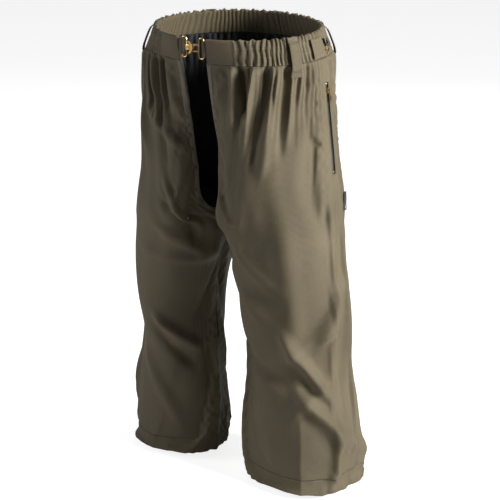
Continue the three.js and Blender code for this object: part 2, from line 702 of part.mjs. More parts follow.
// The ring's frame: x round the waist, y outwards, z up, the hinge line at z = 0.
function ringFrame(side) {
  const t = ringAt;
  const z = waistTop - waistbandHeight * 0.57;
  const { out } = frameAt(side, t, z);
  const up = new THREE.Vector3(0, 0, 1);
  const outward = new THREE.Vector3(out.x, out.y, 0).normalize();
  const place = surface(side, t, z).addScaledVector(outward, ringStandOff);
  return new THREE.Matrix4().makeBasis(outward.clone().cross(up), outward, up).setPosition(place);
}
function vRing() {
  const half = ringWidth / 2;
  const corners = [[-half, 0], [half, 0], [0, -ringHeight]];
  return wireRing(corners.map(([x, z]) => new THREE.Vector2(x, z)), 3, ringWire);
}
// Webbing that goes round the ring's top bar and is sewn to the waistband above it.
function ringStrap() {
  const inner = ringWire + 0.4;
  const outer = inner + 0.9;
  const s = new THREE.Shape().absarc(0, 0, outer, -Math.PI, 0, false);
  s.lineTo(outer, 3).lineTo(-2.8, 12).lineTo(-outer - 1.2, 12).lineTo(-outer - 1.2, 3).lineTo(-outer, 0);
  s.holes.push(new THREE.Path().absarc(0, 0, inner, 0, 2 * Math.PI, false));
  const wide = ringWidth - 15;
  const g = new THREE.ExtrudeGeometry(s, { depth: wide, bevelEnabled: false, curveSegments: 8 });
  g.translate(0, 0, -wide / 2);
  // The section's x becomes outwards and its y becomes up.
  return g.applyMatrix4(new THREE.Matrix4().makeBasis(
    new THREE.Vector3(0, 1, 0), new THREE.Vector3(0, 0, 1), new THREE.Vector3(1, 0, 0),
  ));
}
function sideLabel() {
  const wide = labelWidth / 610;
  const ts = [sideSeamAt + 0.004, sideSeamAt + 0.004 + wide];
  const top = crotch + labelRise;
  return slab("left", ts, [top - labelHeight, top], () => 1.8, () => 0.9);
}

// ---------- assembly ----------
for (const side of ["left", "right"]) {
  add(`${side}_front_panel`, "shell", frontPanel(side));
  add(`${side}_back_panel`, "shell", backPanel(side));
  add(`${side}_hem`, "shell", hemRing(side));
  add(`${side}_lining`, "lining", lining(side));
  add(`${side}_leg_pad`, "pad", legPad(side));
  add(`${side}_pocket_bag`, "lining", pocketBag(side));
  add(`${side}_waistband`, "shell", waistband(side));
  add(`${side}_front_binding`, "binding", frontBinding(side));
  add(`${side}_side_tab`, "shell", sideTab(side));

  const zip = new THREE.Group();
  zip.applyMatrix4(zipFrame(side));
  add(`${side}_zip_tape`, "zip", zipTape(), zip);
  add(`${side}_zip_teeth`, "zip", zipTeeth(), zip);
  add(`${side}_zip_top_stop`, "brass", zipStop(-2), zip);
  add(`${side}_zip_bottom_stop`, "brass", zipStop(-zipLength + 2), zip);
  add(`${side}_zip_slider`, "brass", zipSlider(), zip).position.z = sliderRest;
  const puller = add(`${side}_zip_puller`, "brass", zipPuller(), zip);
  puller.position.set(0, chainMiddle + zipChainHeight / 2 + sliderClearance + sliderWall + lugHeight, sliderRest + 1);
  chaps.add(zip);

  const hanger = new THREE.Group();
  hanger.applyMatrix4(ringFrame(side));
  add(`${side}_v_ring`, "brass", vRing(), hanger);
  add(`${side}_ring_strap`, "webbing", ringStrap(), hanger);
  chaps.add(hanger);

  for (const [place, t] of Object.entries(loopPlaces)) {
    add(`${side}_${place}_belt_loop`, "shell", beltLoop(side, t));
  }
}
add("centre_back_belt_loop", "shell", beltLoop("left", 1));
add("waist_elastic", "elastic", waistElastic());
add("crotch_gusset", "shell", crotchGusset());
add("side_label", "webbing", sideLabel());

const clasp = new THREE.Group();
clasp.position.set(0, claspY, -claspDrop);
add("clasp_hook", "brass", claspHook(), clasp);
add("clasp_eye", "brass", claspEye(), clasp);
add("left_clasp_tab", "shell", claspTab(1), clasp);
add("right_clasp_tab", "shell", claspTab(-1), clasp);
chaps.add(clasp);

export default chaps;
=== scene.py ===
import bmesh
import bpy
import numpy as np
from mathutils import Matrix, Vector


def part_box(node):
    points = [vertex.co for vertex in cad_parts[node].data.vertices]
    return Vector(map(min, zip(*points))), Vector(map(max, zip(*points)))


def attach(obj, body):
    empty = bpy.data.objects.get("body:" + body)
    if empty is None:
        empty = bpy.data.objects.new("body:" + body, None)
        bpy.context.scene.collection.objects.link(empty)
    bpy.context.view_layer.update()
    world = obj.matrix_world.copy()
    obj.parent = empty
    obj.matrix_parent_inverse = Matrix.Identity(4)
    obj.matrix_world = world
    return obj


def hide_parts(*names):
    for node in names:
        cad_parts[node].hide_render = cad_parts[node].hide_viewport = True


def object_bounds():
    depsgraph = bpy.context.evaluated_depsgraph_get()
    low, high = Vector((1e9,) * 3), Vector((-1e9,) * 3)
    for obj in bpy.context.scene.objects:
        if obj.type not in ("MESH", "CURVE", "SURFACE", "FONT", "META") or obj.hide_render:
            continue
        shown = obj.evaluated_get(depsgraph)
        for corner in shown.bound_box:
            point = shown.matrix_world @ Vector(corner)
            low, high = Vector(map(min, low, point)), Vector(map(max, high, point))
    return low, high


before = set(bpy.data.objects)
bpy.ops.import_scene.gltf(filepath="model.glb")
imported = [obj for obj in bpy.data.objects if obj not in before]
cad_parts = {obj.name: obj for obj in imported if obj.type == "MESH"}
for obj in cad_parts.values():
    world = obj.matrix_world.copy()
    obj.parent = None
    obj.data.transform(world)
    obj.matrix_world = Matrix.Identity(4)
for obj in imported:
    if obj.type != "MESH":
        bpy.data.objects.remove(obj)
cad_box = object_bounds()

# ---------- camera, light and floor ----------
# A long lens a little above the waist, looking at the wearer's front from their left. One large soft light
# stands on the right of the camera, and a pale floor and a white surround fill the shade.
camera_data = bpy.data.cameras.new("camera")
camera_data.lens = 101.7
camera_data.sensor_width = 36
camera_data.shift_x = 0.024
camera_data.shift_y = -0.015
camera_data.clip_end = 30
camera = bpy.data.objects.new("camera", camera_data)
bpy.context.collection.objects.link(camera)
camera.location = (2.4 * np.sin(np.radians(37)), -2.4 * np.cos(np.radians(37)), 0.39)
aim = Vector((0, 0, -0.39)) - camera.location
camera.rotation_euler = aim.to_track_quat("-Z", "Y").to_euler()
bpy.context.scene.camera = camera
bpy.context.scene.view_settings.view_transform = "Standard"

for name, place, size, power in (("key", (2.45, 0.35, 0.7), 0.8, 185), ("fill", (-2.5, -2.0, 0.5), 1.4, 50),
                                 ("top", (0.2, 0.4, 2.6), 2.0, 6), ("rear", (-1.5, 2.4, 1.0), 1.8, 14)):
    light_data = bpy.data.lights.new(name, "AREA")
    light_data.energy = power
    light_data.size = size
    light = bpy.data.objects.new(name, light_data)
    light.location = place
    light.rotation_euler = (Vector((0, 0, -0.35)) - Vector(place)).to_track_quat("-Z", "Y").to_euler()
    bpy.context.collection.objects.link(light)
world = bpy.data.worlds.new("surround")
world.use_nodes = True
world.node_tree.nodes["Background"].inputs["Color"].default_value = (1, 1, 1, 1)
ray = world.node_tree.nodes.new("ShaderNodeLightPath")
strength = world.node_tree.nodes.new("ShaderNodeMapRange")
strength.inputs["To Min"].default_value, strength.inputs["To Max"].default_value = 0.07, 1.0
world.node_tree.links.new(ray.outputs["Is Camera Ray"], strength.inputs["Value"])
world.node_tree.links.new(strength.outputs[0], world.node_tree.nodes["Background"].inputs["Strength"])
bpy.context.scene.world = world

floor_mesh = bpy.data.meshes.new("floor")
floor_z = cad_box[0][2] - 0.012
floor_mesh.from_pydata([(-9, -9, floor_z), (9, -9, floor_z), (9, 9, floor_z), (-9, 9, floor_z)], [],
                       [(0, 1, 2, 3)])
floor = bpy.data.objects.new("floor", floor_mesh)
bpy.context.collection.objects.link(floor)
floor_paint = bpy.data.materials.new("floor_paint")
floor_paint.use_nodes = True
floor_shader = floor_paint.node_tree.nodes["Principled BSDF"]
floor_shader.inputs["Base Color"].default_value = (0.45, 0.45, 0.45, 1)
floor_shader.inputs["Roughness"].default_value = 0.9
floor_shader.inputs["Emission Color"].default_value = (1, 1, 1, 1)
floor_ray = floor_paint.node_tree.nodes.new("ShaderNodeLightPath")
floor_glow = floor_paint.node_tree.nodes.new("ShaderNodeMapRange")
floor_glow.inputs["To Min"].default_value, floor_glow.inputs["To Max"].default_value = 0.06, 0.84
floor_paint.node_tree.links.new(floor_ray.outputs["Is Camera Ray"], floor_glow.inputs["Value"])
floor_paint.node_tree.links.new(floor_glow.outputs[0], floor_shader.inputs["Emission Strength"])
floor_mesh.materials.append(floor_paint)

# ---------- the cut of the garment ----------
# Both halves are cut to one surface: an ellipse round each leg that opens above the crotch into an ellipse
# round the hips. t goes round from the front edge or inseam (0) by the side (0.5) to the back (1).
waist_top, panel_top, crotch, hem_level = 0.002, -0.040, -0.345, -0.795
side_seam = 0.54
zip_top, zip_foot = -0.080, -0.232


def ease(low, high, x):
    """Smooth step from 0 at low to 1 at high: u * u * (3 - 2 u)."""
    u = np.clip((x - low) / (high - low), 0, 1)
    return u * u * (3 - 2 * u)


def down(stations, z):
    """Hermite cubic through (height, value) stations from the top down, with chord slopes."""
    s = np.array(stations, float)
    h, v = s[:, 0], s[:, 1]
    zc = np.clip(z, h[-1], h[0])
    before, after = np.r_[0, np.arange(len(h) - 1)], np.r_[np.arange(1, len(h)), len(h) - 1]
    slope = (v[after] - v[before]) / (h[after] - h[before])
    i = np.clip(np.searchsorted(-h, -zc, side="left") - 1, 0, len(h) - 2)
    d = h[i + 1] - h[i]
    u = (zc - h[i]) / d
    w = 1 - u
    return (v[i] * (1 + 2 * u) * w * w + d * slope[i] * u * w * w
            + v[i + 1] * u * u * (3 - 2 * u) - d * slope[i + 1] * u * u * w)


def body_height(share):
    """Height at a share of the way from the waist down to the crotch."""
    return waist_top + (crotch - waist_top) * share


def leg_height(share):
    """Height at a share of the way from the crotch down to the hem."""
    return crotch + (hem_level - crotch) * share


def paired(heights, millimetres):
    """Stations from heights in metres and values in millimetres."""
    return [(h, v / 1000) for h, v in zip(heights, millimetres)]


hip_heights = (waist_top, body_height(0.06), -0.050, -0.080, -0.232, -0.262, crotch)
hip_width = paired(hip_heights, (153, 162, 173, 177.25, 198.75, 203, 218))
hip_depth = paired([waist_top] + [body_height(s) for s in (0.06, 0.18, 0.32, 0.52)] + [crotch],
                   (121, 129, 142, 152, 156, 157))
leg_heights = [waist_top, body_height(0.52), crotch]
leg_heights += [leg_height(s) for s in (0.165, 0.345, 0.52, 0.77)] + [hem_level]
leg_centre = {1: paired(leg_heights, (84, 98, 112, 123, 126, 129, 138, 141)),
              -1: paired(leg_heights, (84, 98, 112, 128, 129, 120, 119, 123))}
leg_width = {1: paired(leg_heights[2:], (106, 97, 97, 97, 104, 109)),
             -1: paired(leg_heights[2:], (106, 91, 83, 82, 90, 90))}
leg_depth = {1: paired(leg_heights, (112, 116, 104, 96, 90, 88, 98, 104)),
             -1: paired(leg_heights, (112, 116, 104, 92, 86, 82, 84, 84))}
leg_shift = {s: paired([waist_top, crotch] + leg_heights[3:],
                       np.array((0, 0, 0.2, 0.4, 0.6, 0.87, 1)) * 15 * s)
             for s in (1, -1)}
edge_heights = [waist_top] + [body_height(s) for s in (0.046, 0.31, 0.69, 0.885)] + [crotch]
edge_fore = paired(edge_heights, (-129, -127, -108, -76, -58, -4))
edge_gap = paired(edge_heights, (30, 29, 25, 28, 30, 6))


def cut(sign, t, z):
    """Leg ellipse (cx + rx cos, cy + ry sin) mixed with the hip ellipse (a cos, b sin) by height and by t,
    then pulled to the line of the front edge near t = 0, and tilted at the waist. Sign is +1 for the left half."""
    cx, cy, ry = down(leg_centre[sign], z), down(leg_shift[sign], z), down(leg_depth[sign], z)
    a, b, gap = down(hip_width, z), down(hip_depth, z), down(edge_gap, z)
    above = z > crotch
    outer_half = np.where(above, a - cx, down(leg_width[sign], z))
    inner_half = np.where(above, np.minimum(a - cx, cx - 0.006), outer_half)
    turn = -np.pi + 2 * np.pi * t
    first = -np.pi / 2 + gap / a
    hip_turn = first + (np.pi / 2 - first) * t
    front = above * ease(crotch - 0.010, panel_top, z)
    m = front * (1 - t) + above * ease(crotch, body_height(0.55), z) * t
    rx = np.where(np.cos(turn) > 0, outer_half, inner_half)
    x = (cx + rx * np.cos(turn)) * (1 - m) + a * np.cos(hip_turn) * m
    y = (cy + ry * np.sin(turn)) * (1 - m) + b * np.sin(hip_turn) * m
    u = np.clip(t / 0.3, 0, 1)
    pull = (1 - u) ** 2 * (1 + 2 * u) * ease(crotch, crotch + 0.030, z)
    x = x + pull * (gap - (cx - inner_half) * (1 - front) - a * np.cos(first) * front)
    y = y + pull * (down(edge_fore, z) - cy * (1 - front) - b * np.sin(first) * front)
    lift = 0.0065 * (y / 0.121) * ease(body_height(0.58), waist_top, z)
    return np.stack(np.broadcast_arrays(sign * x, y, z + lift), -1)


def directions(sign, t, z):
    """Unit vectors round the body, up it and out of it, from central differences of the cut."""
    t0, t1 = np.clip(t - 0.004, 0, 1), np.clip(t + 0.004, 0, 1)
    z0, z1 = np.clip(z - 0.0015, hem_level, waist_top), np.clip(z + 0.0015, hem_level, waist_top)
    across = cut(sign, t1, z) - cut(sign, t0, z)
    up = cut(sign, t, z1) - cut(sign, t, z0)
    across = across / np.linalg.norm(across, axis=-1, keepdims=True)
    up = up / np.linalg.norm(up, axis=-1, keepdims=True)
    out = np.cross(across, up) * sign
    return across, up, out / np.linalg.norm(out, axis=-1, keepdims=True)


# Folds that lie in the cloth: start and end as (t, height), how far it stands out and how wide it is, in metres.
laid_folds = {
    1: [((0.318, -0.520), (0.400, -0.600), 0.0085, 0.011), ((0.400, -0.600), (0.330, -0.640), 0.0060, 0.012),
        ((0.489, -0.431), (0.426, -0.500), 0.0060, 0.012), ((0.426, -0.500), (0.318, -0.540), 0.0050, 0.014),
        ((0.340, -0.610), (0.450, -0.700), 0.0050, 0.014), ((0.380, -0.640), (0.520, -0.720), 0.0045, 0.012),
        ((0.100, -0.300), (0.260, -0.400), 0.0045, 0.016), ((0.060, -0.350), (0.220, -0.460), 0.0045, 0.016),
        ((0.150, -0.560), (0.300, -0.590), -0.0050, 0.016), ((0.330, -0.350), (0.330, -0.520), 0.0050, 0.020),
        ((0.120, -0.045), (0.150, -0.110), -0.0075, 0.007), ((0.092, -0.045), (0.110, -0.130), 0.0050, 0.008),
        ((0.180, -0.045), (0.158, -0.120), 0.0055, 0.008), ((0.215, -0.045), (0.210, -0.190), -0.0045, 0.009),
        ((0.260, -0.045), (0.250, -0.200), 0.0045, 0.011), ((0.300, -0.045), (0.300, -0.170), -0.0040, 0.009),
        ((0.700, -0.330), (0.860, -0.400), 0.0060, 0.014), ((0.620, -0.540), (0.800, -0.570), 0.0060, 0.012),
        ((0.640, -0.600), (0.820, -0.585), -0.0050, 0.012), ((0.560, -0.760), (0.640, -0.690), 0.0045, 0.010),
        ((0.420, -0.780), (0.440, -0.700), 0.0040, 0.009),
        ((0.480, -0.790), (0.500, -0.720), -0.0035, 0.008)],
    -1: [((0.220, -0.536), (0.118, -0.577), 0.0075, 0.011),
         ((0.240, -0.560), (0.140, -0.605), -0.0050, 0.011),
         ((0.143, -0.277), (0.103, -0.377), 0.0055, 0.011), ((0.223, -0.350), (0.082, -0.389), 0.0055, 0.012),
         ((0.180, -0.310), (0.095, -0.380), -0.0045, 0.010),
         ((0.260, -0.400), (0.090, -0.405), 0.0040, 0.012),
         ((0.177, -0.149), (0.070, -0.188), 0.0050, 0.013),
         ((0.130, -0.120), (0.050, -0.150), -0.0030, 0.012),
         ((0.015, -0.600), (0.022, -0.790), 0.0050, 0.010), ((0.300, -0.620), (0.200, -0.700), 0.0045, 0.014),
         ((0.100, -0.045), (0.095, -0.120), -0.0045, 0.006),
         ((0.150, -0.045), (0.140, -0.150), 0.0050, 0.008),
         ((0.200, -0.045), (0.190, -0.130), -0.0045, 0.008),
         ((0.260, -0.045), (0.250, -0.180), 0.0045, 0.010),
         ((0.700, -0.330), (0.860, -0.400), 0.0060, 0.014), ((0.600, -0.520), (0.780, -0.560), 0.0060, 0.012),
         ((0.640, -0.590), (0.800, -0.575), -0.0050, 0.012),
         ((0.420, -0.700), (0.500, -0.620), 0.0045, 0.012)],
}


def folds(sign, t, z):
    """Sum of ridges: amplitude * exp(-(d / width)^2) at distance d from each fold's line, fading past its ends;
    gathers under the waistband, a front crease on the left shin and a flattened front on the right one."""
    total = 0.0 * (t + z)
    for (t0, z0), (t1, z1), high, wide in laid_folds[sign]:
        ax, az = (t1 - t0) * 0.6, z1 - z0
        run = np.hypot(ax, az)
        px, pz = (t - t0) * 0.6, z - z0
        along_it = (px * ax + pz * az) / run
        off_it = (px * az - pz * ax) / run
        past = np.maximum(0, np.maximum(-along_it, along_it - run))
        body = np.exp(-(off_it / wide) ** 2 - (past / (2.2 * wide)) ** 2)
        total = total + 1.6 * high * body
    gathered = ease(0.08, 0.16, t) * ease(-0.190, -0.045, z)
    total = total + gathered * 0.0024 * (np.sin(2 * np.pi * (31 * t + 0.9 * np.sin(9 * t)))
                                         + 0.6 * np.sin(2 * np.pi * 53 * t + 1))
    ripple = np.sin(2 * np.pi * (13 * t + 0.4 * np.sin(22 * z) + 0.2 * sign))
    total = total + 0.0016 * ease(-0.420, -0.060, z) * ripple
    slow = np.sin(19 * z + 7 * t * sign) * np.sin(11 * t + 3 * sign) + 0.6 * np.sin(33 * z - 17 * t + sign)
    total = total + 0.0022 * slow * ease(-0.060, -0.260, z)
    if sign > 0:
        total = total + 0.011 * ease(-0.520, -0.795, z) * np.exp(-np.abs(t - 0.333) / 0.045)
    else:
        total = total - 0.006 * ease(-0.520, -0.795, z) * np.exp(-((t - 0.19) / 0.09) ** 2)
    quiet_zip = 1 - np.exp(-((t - 0.5) / 0.045) ** 4) * ease(-0.285, -0.250, z)
    quiet_seam = 1 - 0.6 * np.exp(-(np.minimum(t, 1 - t) / 0.02) ** 2)
    return total * quiet_zip * quiet_seam * ease(panel_top + 0.004, panel_top - 0.012, z)


def interpolation(places, count):
    """Catmull-Rom weights that carry values at count even stations on 0 to 1 to the given places."""
    x = np.clip(places, 0, 1) * (count - 1)
    i = np.clip(np.floor(x).astype(int), 0, count - 2)
    u = x - i
    w = np.stack([-u + 2 * u**2 - u**3, 2 - 5 * u**2 + 3 * u**3, u + 4 * u**2 - 3 * u**3, u**3 - u**2], 1) / 2
    table = np.zeros((len(x), count))
    for k in range(4):
        np.add.at(table, (np.arange(len(x)), np.clip(i + k - 1, 0, count - 1)), w[:, k])
    return table


# The soft creases that the cloth's own weight gives: a coarse copy of each half, a little larger than its
# shape and held loosely to it, is dropped for some frames, and its displacement is kept as a table.
coarse_t, coarse_z = 73, 89
settled = {1: np.zeros((coarse_t, coarse_z, 3)), -1: np.zeros((coarse_t, coarse_z, 3))}


def grid_faces(rows, columns):
    """Quads of a grid whose vertex (i, j) has the number i * columns + j."""
    i, j = np.meshgrid(np.arange(rows - 1), np.arange(columns - 1), indexing="ij")
    a = (i * columns + j).ravel()
    return np.stack([a, a + columns, a + columns + 1, a + 1], 1)


def half_faces(sign, shape):
    """Grid quads that face outwards on the left half, and turned over for its mirror image."""
    faces = grid_faces(*shape)
    return faces if sign > 0 else faces[:, ::-1]


def settle(sign):
    """Displacement (rows of t, columns of height) of a loosely held coarse half after it has dropped."""
    t, z = np.meshgrid(np.linspace(0, 1, coarse_t), np.linspace(hem_level, panel_top, coarse_z),
                       indexing="ij")
    rest = cut(sign, t, z)
    mesh = bpy.data.meshes.new("settling")
    mesh.from_pydata(rest.reshape(-1, 3).tolist(), [], grid_faces(coarse_t, coarse_z).tolist())
    cloth = bpy.data.objects.new("settling", mesh)
    bpy.context.collection.objects.link(cloth)
    near_zip = np.exp(-((t - 0.5) / 0.07) ** 4) * ease(-0.320, -0.270, z)
    near_edges = np.exp(-(np.minimum(t, 1 - t) / 0.02) ** 2)
    hold = np.clip(0.035 + ease(-0.075, -0.045, z) + near_zip + near_edges
                   + 0.5 * ease(-0.775, -0.795, z), 0, 1)
    group = cloth.vertex_groups.new(name="held")
    for index, weight in enumerate(hold.ravel().tolist()):
        group.add([index], weight, "REPLACE")
    simulated = cloth.modifiers.new("cloth", "CLOTH")
    simulated.settings.vertex_group_mass = "held"
    simulated.settings.pin_stiffness = 0.25
    simulated.settings.quality = 6
    simulated.settings.mass = 0.25
    simulated.settings.tension_stiffness = 25
    simulated.settings.compression_stiffness = 25
    simulated.settings.bending_stiffness = 0.35
    simulated.settings.shrink_min = -0.022
    simulated.settings.shrink_max = -0.022
    simulated.point_cache.frame_start = 1
    simulated.point_cache.frame_end = 26
    scene = bpy.context.scene
    for number in range(1, 27):
        scene.frame_set(number)
    evaluated = cloth.evaluated_get(bpy.context.evaluated_depsgraph_get())
    after = np.empty(rest.size)
    evaluated.data.vertices.foreach_get("co", after)
    move = after.reshape(rest.shape) - rest
    length = np.linalg.norm(move, axis=-1, keepdims=True)
    move = move * np.minimum(1, 0.009 / np.maximum(length, 1e-9))
    bpy.data.objects.remove(cloth)
    scene.frame_set(1)
    return move


for sign in (1, -1):
    settled[sign] = settle(sign)


def wall(sign, t, z, out=0.0):
    """The cut, plus its settled displacement, moved out along its normal by out and by the folds."""
    t, z = np.broadcast_arrays(np.asarray(t, float), np.asarray(z, float))
    shape = t.shape
    tf, zf = t.ravel(), z.ravel()
    place = cut(sign, tf, zf)
    _, _, normal = directions(sign, tf, zf)
    if t.ndim == 2 and np.allclose(t, t[:, :1]) and np.allclose(z, z[:1]):
        level = (z[0] - hem_level) / (panel_top - hem_level)
        carried = np.einsum("ia,abk,jb->ijk", interpolation(t[:, 0], coarse_t), settled[sign],
                            interpolation(level, coarse_z))
        moved = carried.reshape(-1, 3)
    else:
        weight_t = interpolation(tf, coarse_t)
        weight_z = interpolation((zf - hem_level) / (panel_top - hem_level), coarse_z)
        moved = np.einsum("na,nak->nk", weight_t, np.einsum("nb,abk->nak", weight_z, settled[sign]))
    moved = moved * ease(panel_top, panel_top - 0.015, zf)[:, None]
    amount = folds(sign, tf, zf) + np.broadcast_to(out, shape).ravel()
    return (place + moved + normal * amount[:, None]).reshape(shape + (3,))


def piece(name, points, faces, uv, material, body="garment", smooth=True):
    """A mesh object from an array of points, quads or triangles, and one UV pair per point; it rides on a body."""
    points, faces = np.asarray(points, float).reshape(-1, 3), np.asarray(faces)
    mesh = bpy.data.meshes.new(name)
    mesh.from_pydata(points.tolist(), [], faces.tolist())
    layer = mesh.uv_layers.new(name="cloth")
    corner = np.empty(len(mesh.loops), int)
    mesh.loops.foreach_get("vertex_index", corner)
    layer.data.foreach_set("uv", np.asarray(uv, float).reshape(-1, 2)[corner].ravel())
    mesh.polygons.foreach_set("use_smooth", np.full(len(mesh.polygons), smooth))
    mesh.materials.append(material)
    made = bpy.data.objects.new(name, mesh)
    bpy.context.collection.objects.link(made)
    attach(made, body)
    return made


def shell_side(made, thick):
    """Gives a single sheet its thickness inwards."""
    wall_made = made.modifiers.new("thickness", "SOLIDIFY")
    wall_made.thickness = thick
    wall_made.offset = -1
    return made


def new_group(name):
    """An empty shader group that puts out a colour, a roughness and a normal."""
    group = bpy.data.node_groups.new(name, "ShaderNodeTree")
    for socket, kind in (("Color", "Color"), ("Roughness", "Float"), ("Normal", "Vector")):
        group.interface.new_socket(socket, in_out="OUTPUT", socket_type="NodeSocket" + kind)
    return group, group.nodes, group.links


def maths(nodes, links, kind, first, second):
    """One Math node fed by sockets or numbers."""
    node = nodes.new("ShaderNodeMath")
    node.operation = kind
    for socket, value in zip(node.inputs, (first, second)):
        if isinstance(value, bpy.types.NodeSocket):
            links.new(value, socket)
        else:
            socket.default_value = value
    return node.outputs[0]


def woven(name, dark, light, rib, weft, depth, worn, rough_low, rough_high):
    """Cloth group: ribs along U every rib metres crossed by a finer weft, with the tone drifting slowly over
    the object, small worn flecks, the ribs' tops painted lighter and their grooves painted darker from the ribs'
    height as painted light and shade, and the ribs' height given as a bump normal."""
    group, nodes, links = new_group(name)
    end = nodes.new("NodeGroupOutput")
    uv = nodes.new("ShaderNodeUVMap")
    uv.uv_map = "cloth"
    place = nodes.new("ShaderNodeSeparateXYZ")
    links.new(uv.outputs[0], place.inputs[0])
    ribs = maths(nodes, links, "SINE",
                 maths(nodes, links, "MULTIPLY", place.outputs["Y"], 2 * np.pi / rib), 0)
    row = maths(nodes, links, "FLOOR", maths(nodes, links, "MULTIPLY", place.outputs["Y"], 1 / rib), 0)
    shifted = maths(nodes, links, "ADD",
                    maths(nodes, links, "MULTIPLY", place.outputs["X"], 2 * np.pi / weft),
                    maths(nodes, links, "MULTIPLY", row, np.pi))
    threads = maths(nodes, links, "SINE", shifted, 0)
    height = maths(nodes, links, "ADD", ribs, maths(nodes, links, "MULTIPLY", threads, 0.45))
    coords = nodes.new("ShaderNodeTexCoord")
    slow = nodes.new("ShaderNodeTexNoise")
    slow.inputs["Scale"].default_value = 9
    slow.inputs["Detail"].default_value = 4
    links.new(coords.outputs["Object"], slow.inputs["Vector"])
    fine = nodes.new("ShaderNodeTexNoise")
    fine.inputs["Scale"].default_value = 620
    fine.inputs["Detail"].default_value = 2
    links.new(coords.outputs["Object"], fine.inputs["Vector"])
    tone = maths(nodes, links, "ADD", maths(nodes, links, "MULTIPLY", slow.outputs["Fac"], 0.7),
                 maths(nodes, links, "MULTIPLY", fine.outputs["Fac"], 0.3))
    # Rib tops painted lighter and rib grooves painted darker by the ribs' height: painted light and shade.
    rib_shaded_tone = maths(nodes, links, "ADD", tone, maths(nodes, links, "MULTIPLY", height, 0.07))
    ramp = nodes.new("ShaderNodeValToRGB")
    ramp.color_ramp.elements[0].position, ramp.color_ramp.elements[1].position = 0.28, 0.74
    ramp.color_ramp.elements[0].color, ramp.color_ramp.elements[1].color = (*dark, 1), (*light, 1)
    links.new(rib_shaded_tone, ramp.inputs["Fac"])
    fleck = nodes.new("ShaderNodeMapRange")
    fleck.inputs["From Min"].default_value, fleck.inputs["From Max"].default_value = 0.62, 0.80
    links.new(fine.outputs["Fac"], fleck.inputs["Value"])
    paler = nodes.new("ShaderNodeMix")
    paler.data_type = "RGBA"
    paler.inputs["B"].default_value = (*[min(1, c * 1.7) for c in light], 1)
    links.new(maths(nodes, links, "MULTIPLY", fleck.outputs[0], worn), paler.inputs["Factor"])
    links.new(ramp.outputs["Color"], paler.inputs["A"])
    links.new(paler.outputs["Result"], end.inputs["Color"])
    rough = nodes.new("ShaderNodeMapRange")
    rough.inputs["To Min"].default_value, rough.inputs["To Max"].default_value = rough_low, rough_high
    links.new(tone, rough.inputs["Value"])
    links.new(rough.outputs[0], end.inputs["Roughness"])
    bump = nodes.new("ShaderNodeBump")
    bump.inputs["Strength"].default_value = 0.55
    bump.inputs["Distance"].default_value = depth
    links.new(height, bump.inputs["Height"])
    links.new(bump.outputs["Normal"], end.inputs["Normal"])
    return group


def finish_of(name, group, **plain):
    """A Principled material fed by a shader group, its uniform numbers set on the shader's own sockets."""
    material = bpy.data.materials.new(name)
    material.use_nodes = True
    shader = material.node_tree.nodes["Principled BSDF"]
    pattern = material.node_tree.nodes.new("ShaderNodeGroup")
    pattern.node_tree = group
    for socket, target in (("Color", "Base Color"), ("Roughness", "Roughness"), ("Normal", "Normal")):
        material.node_tree.links.new(pattern.outputs[socket], shader.inputs[target])
    for socket, value in plain.items():
        shader.inputs[socket.replace("_", " ")].default_value = value
    return material


# ---------- outer shell ----------
# Ribbed nylon with a matt coat, olive brown. Each half is a front panel with the pocket slot and a back
# panel, joined down the side by a lapped seam, and sewn to the turned hem below and the waistband above.
shell_weave = woven("ribbed_nylon", (0.060, 0.0465, 0.0225), (0.106, 0.084, 0.047), 0.0019, 0.0013,
                    0.00035, 0.35, 0.50, 0.68)
shell_cloth = finish_of("shell_cloth", shell_weave, Sheen_Weight=0.16, Sheen_Roughness=0.45)
shell_cloth.node_tree.nodes["Principled BSDF"].inputs["Sheen Tint"].default_value = (0.62, 0.56, 0.44, 1)
shell_cloth.node_tree.nodes["Principled BSDF"].inputs["Specular IOR Level"].default_value = 0.35
slot_half = 0.0042


def zip_stations(q, z):
    """t near the zip stretched so that the columns beside t = 0.5 stay a slot's half-width from its line."""
    girth = np.linalg.norm(cut(1, 0.505 + 0 * z, z) - cut(1, 0.495 + 0 * z, z), axis=-1) / 0.01
    k = slot_half / girth
    d = np.abs(q - 0.5)
    inside = d * k / 0.0067
    beside = k + (d - 0.0067) * (0.02 - k) / (0.02 - 0.0067)
    return np.where(d < 0.02, 0.5 + np.sign(q - 0.5) * np.where(d < 0.0067, inside, beside), q)


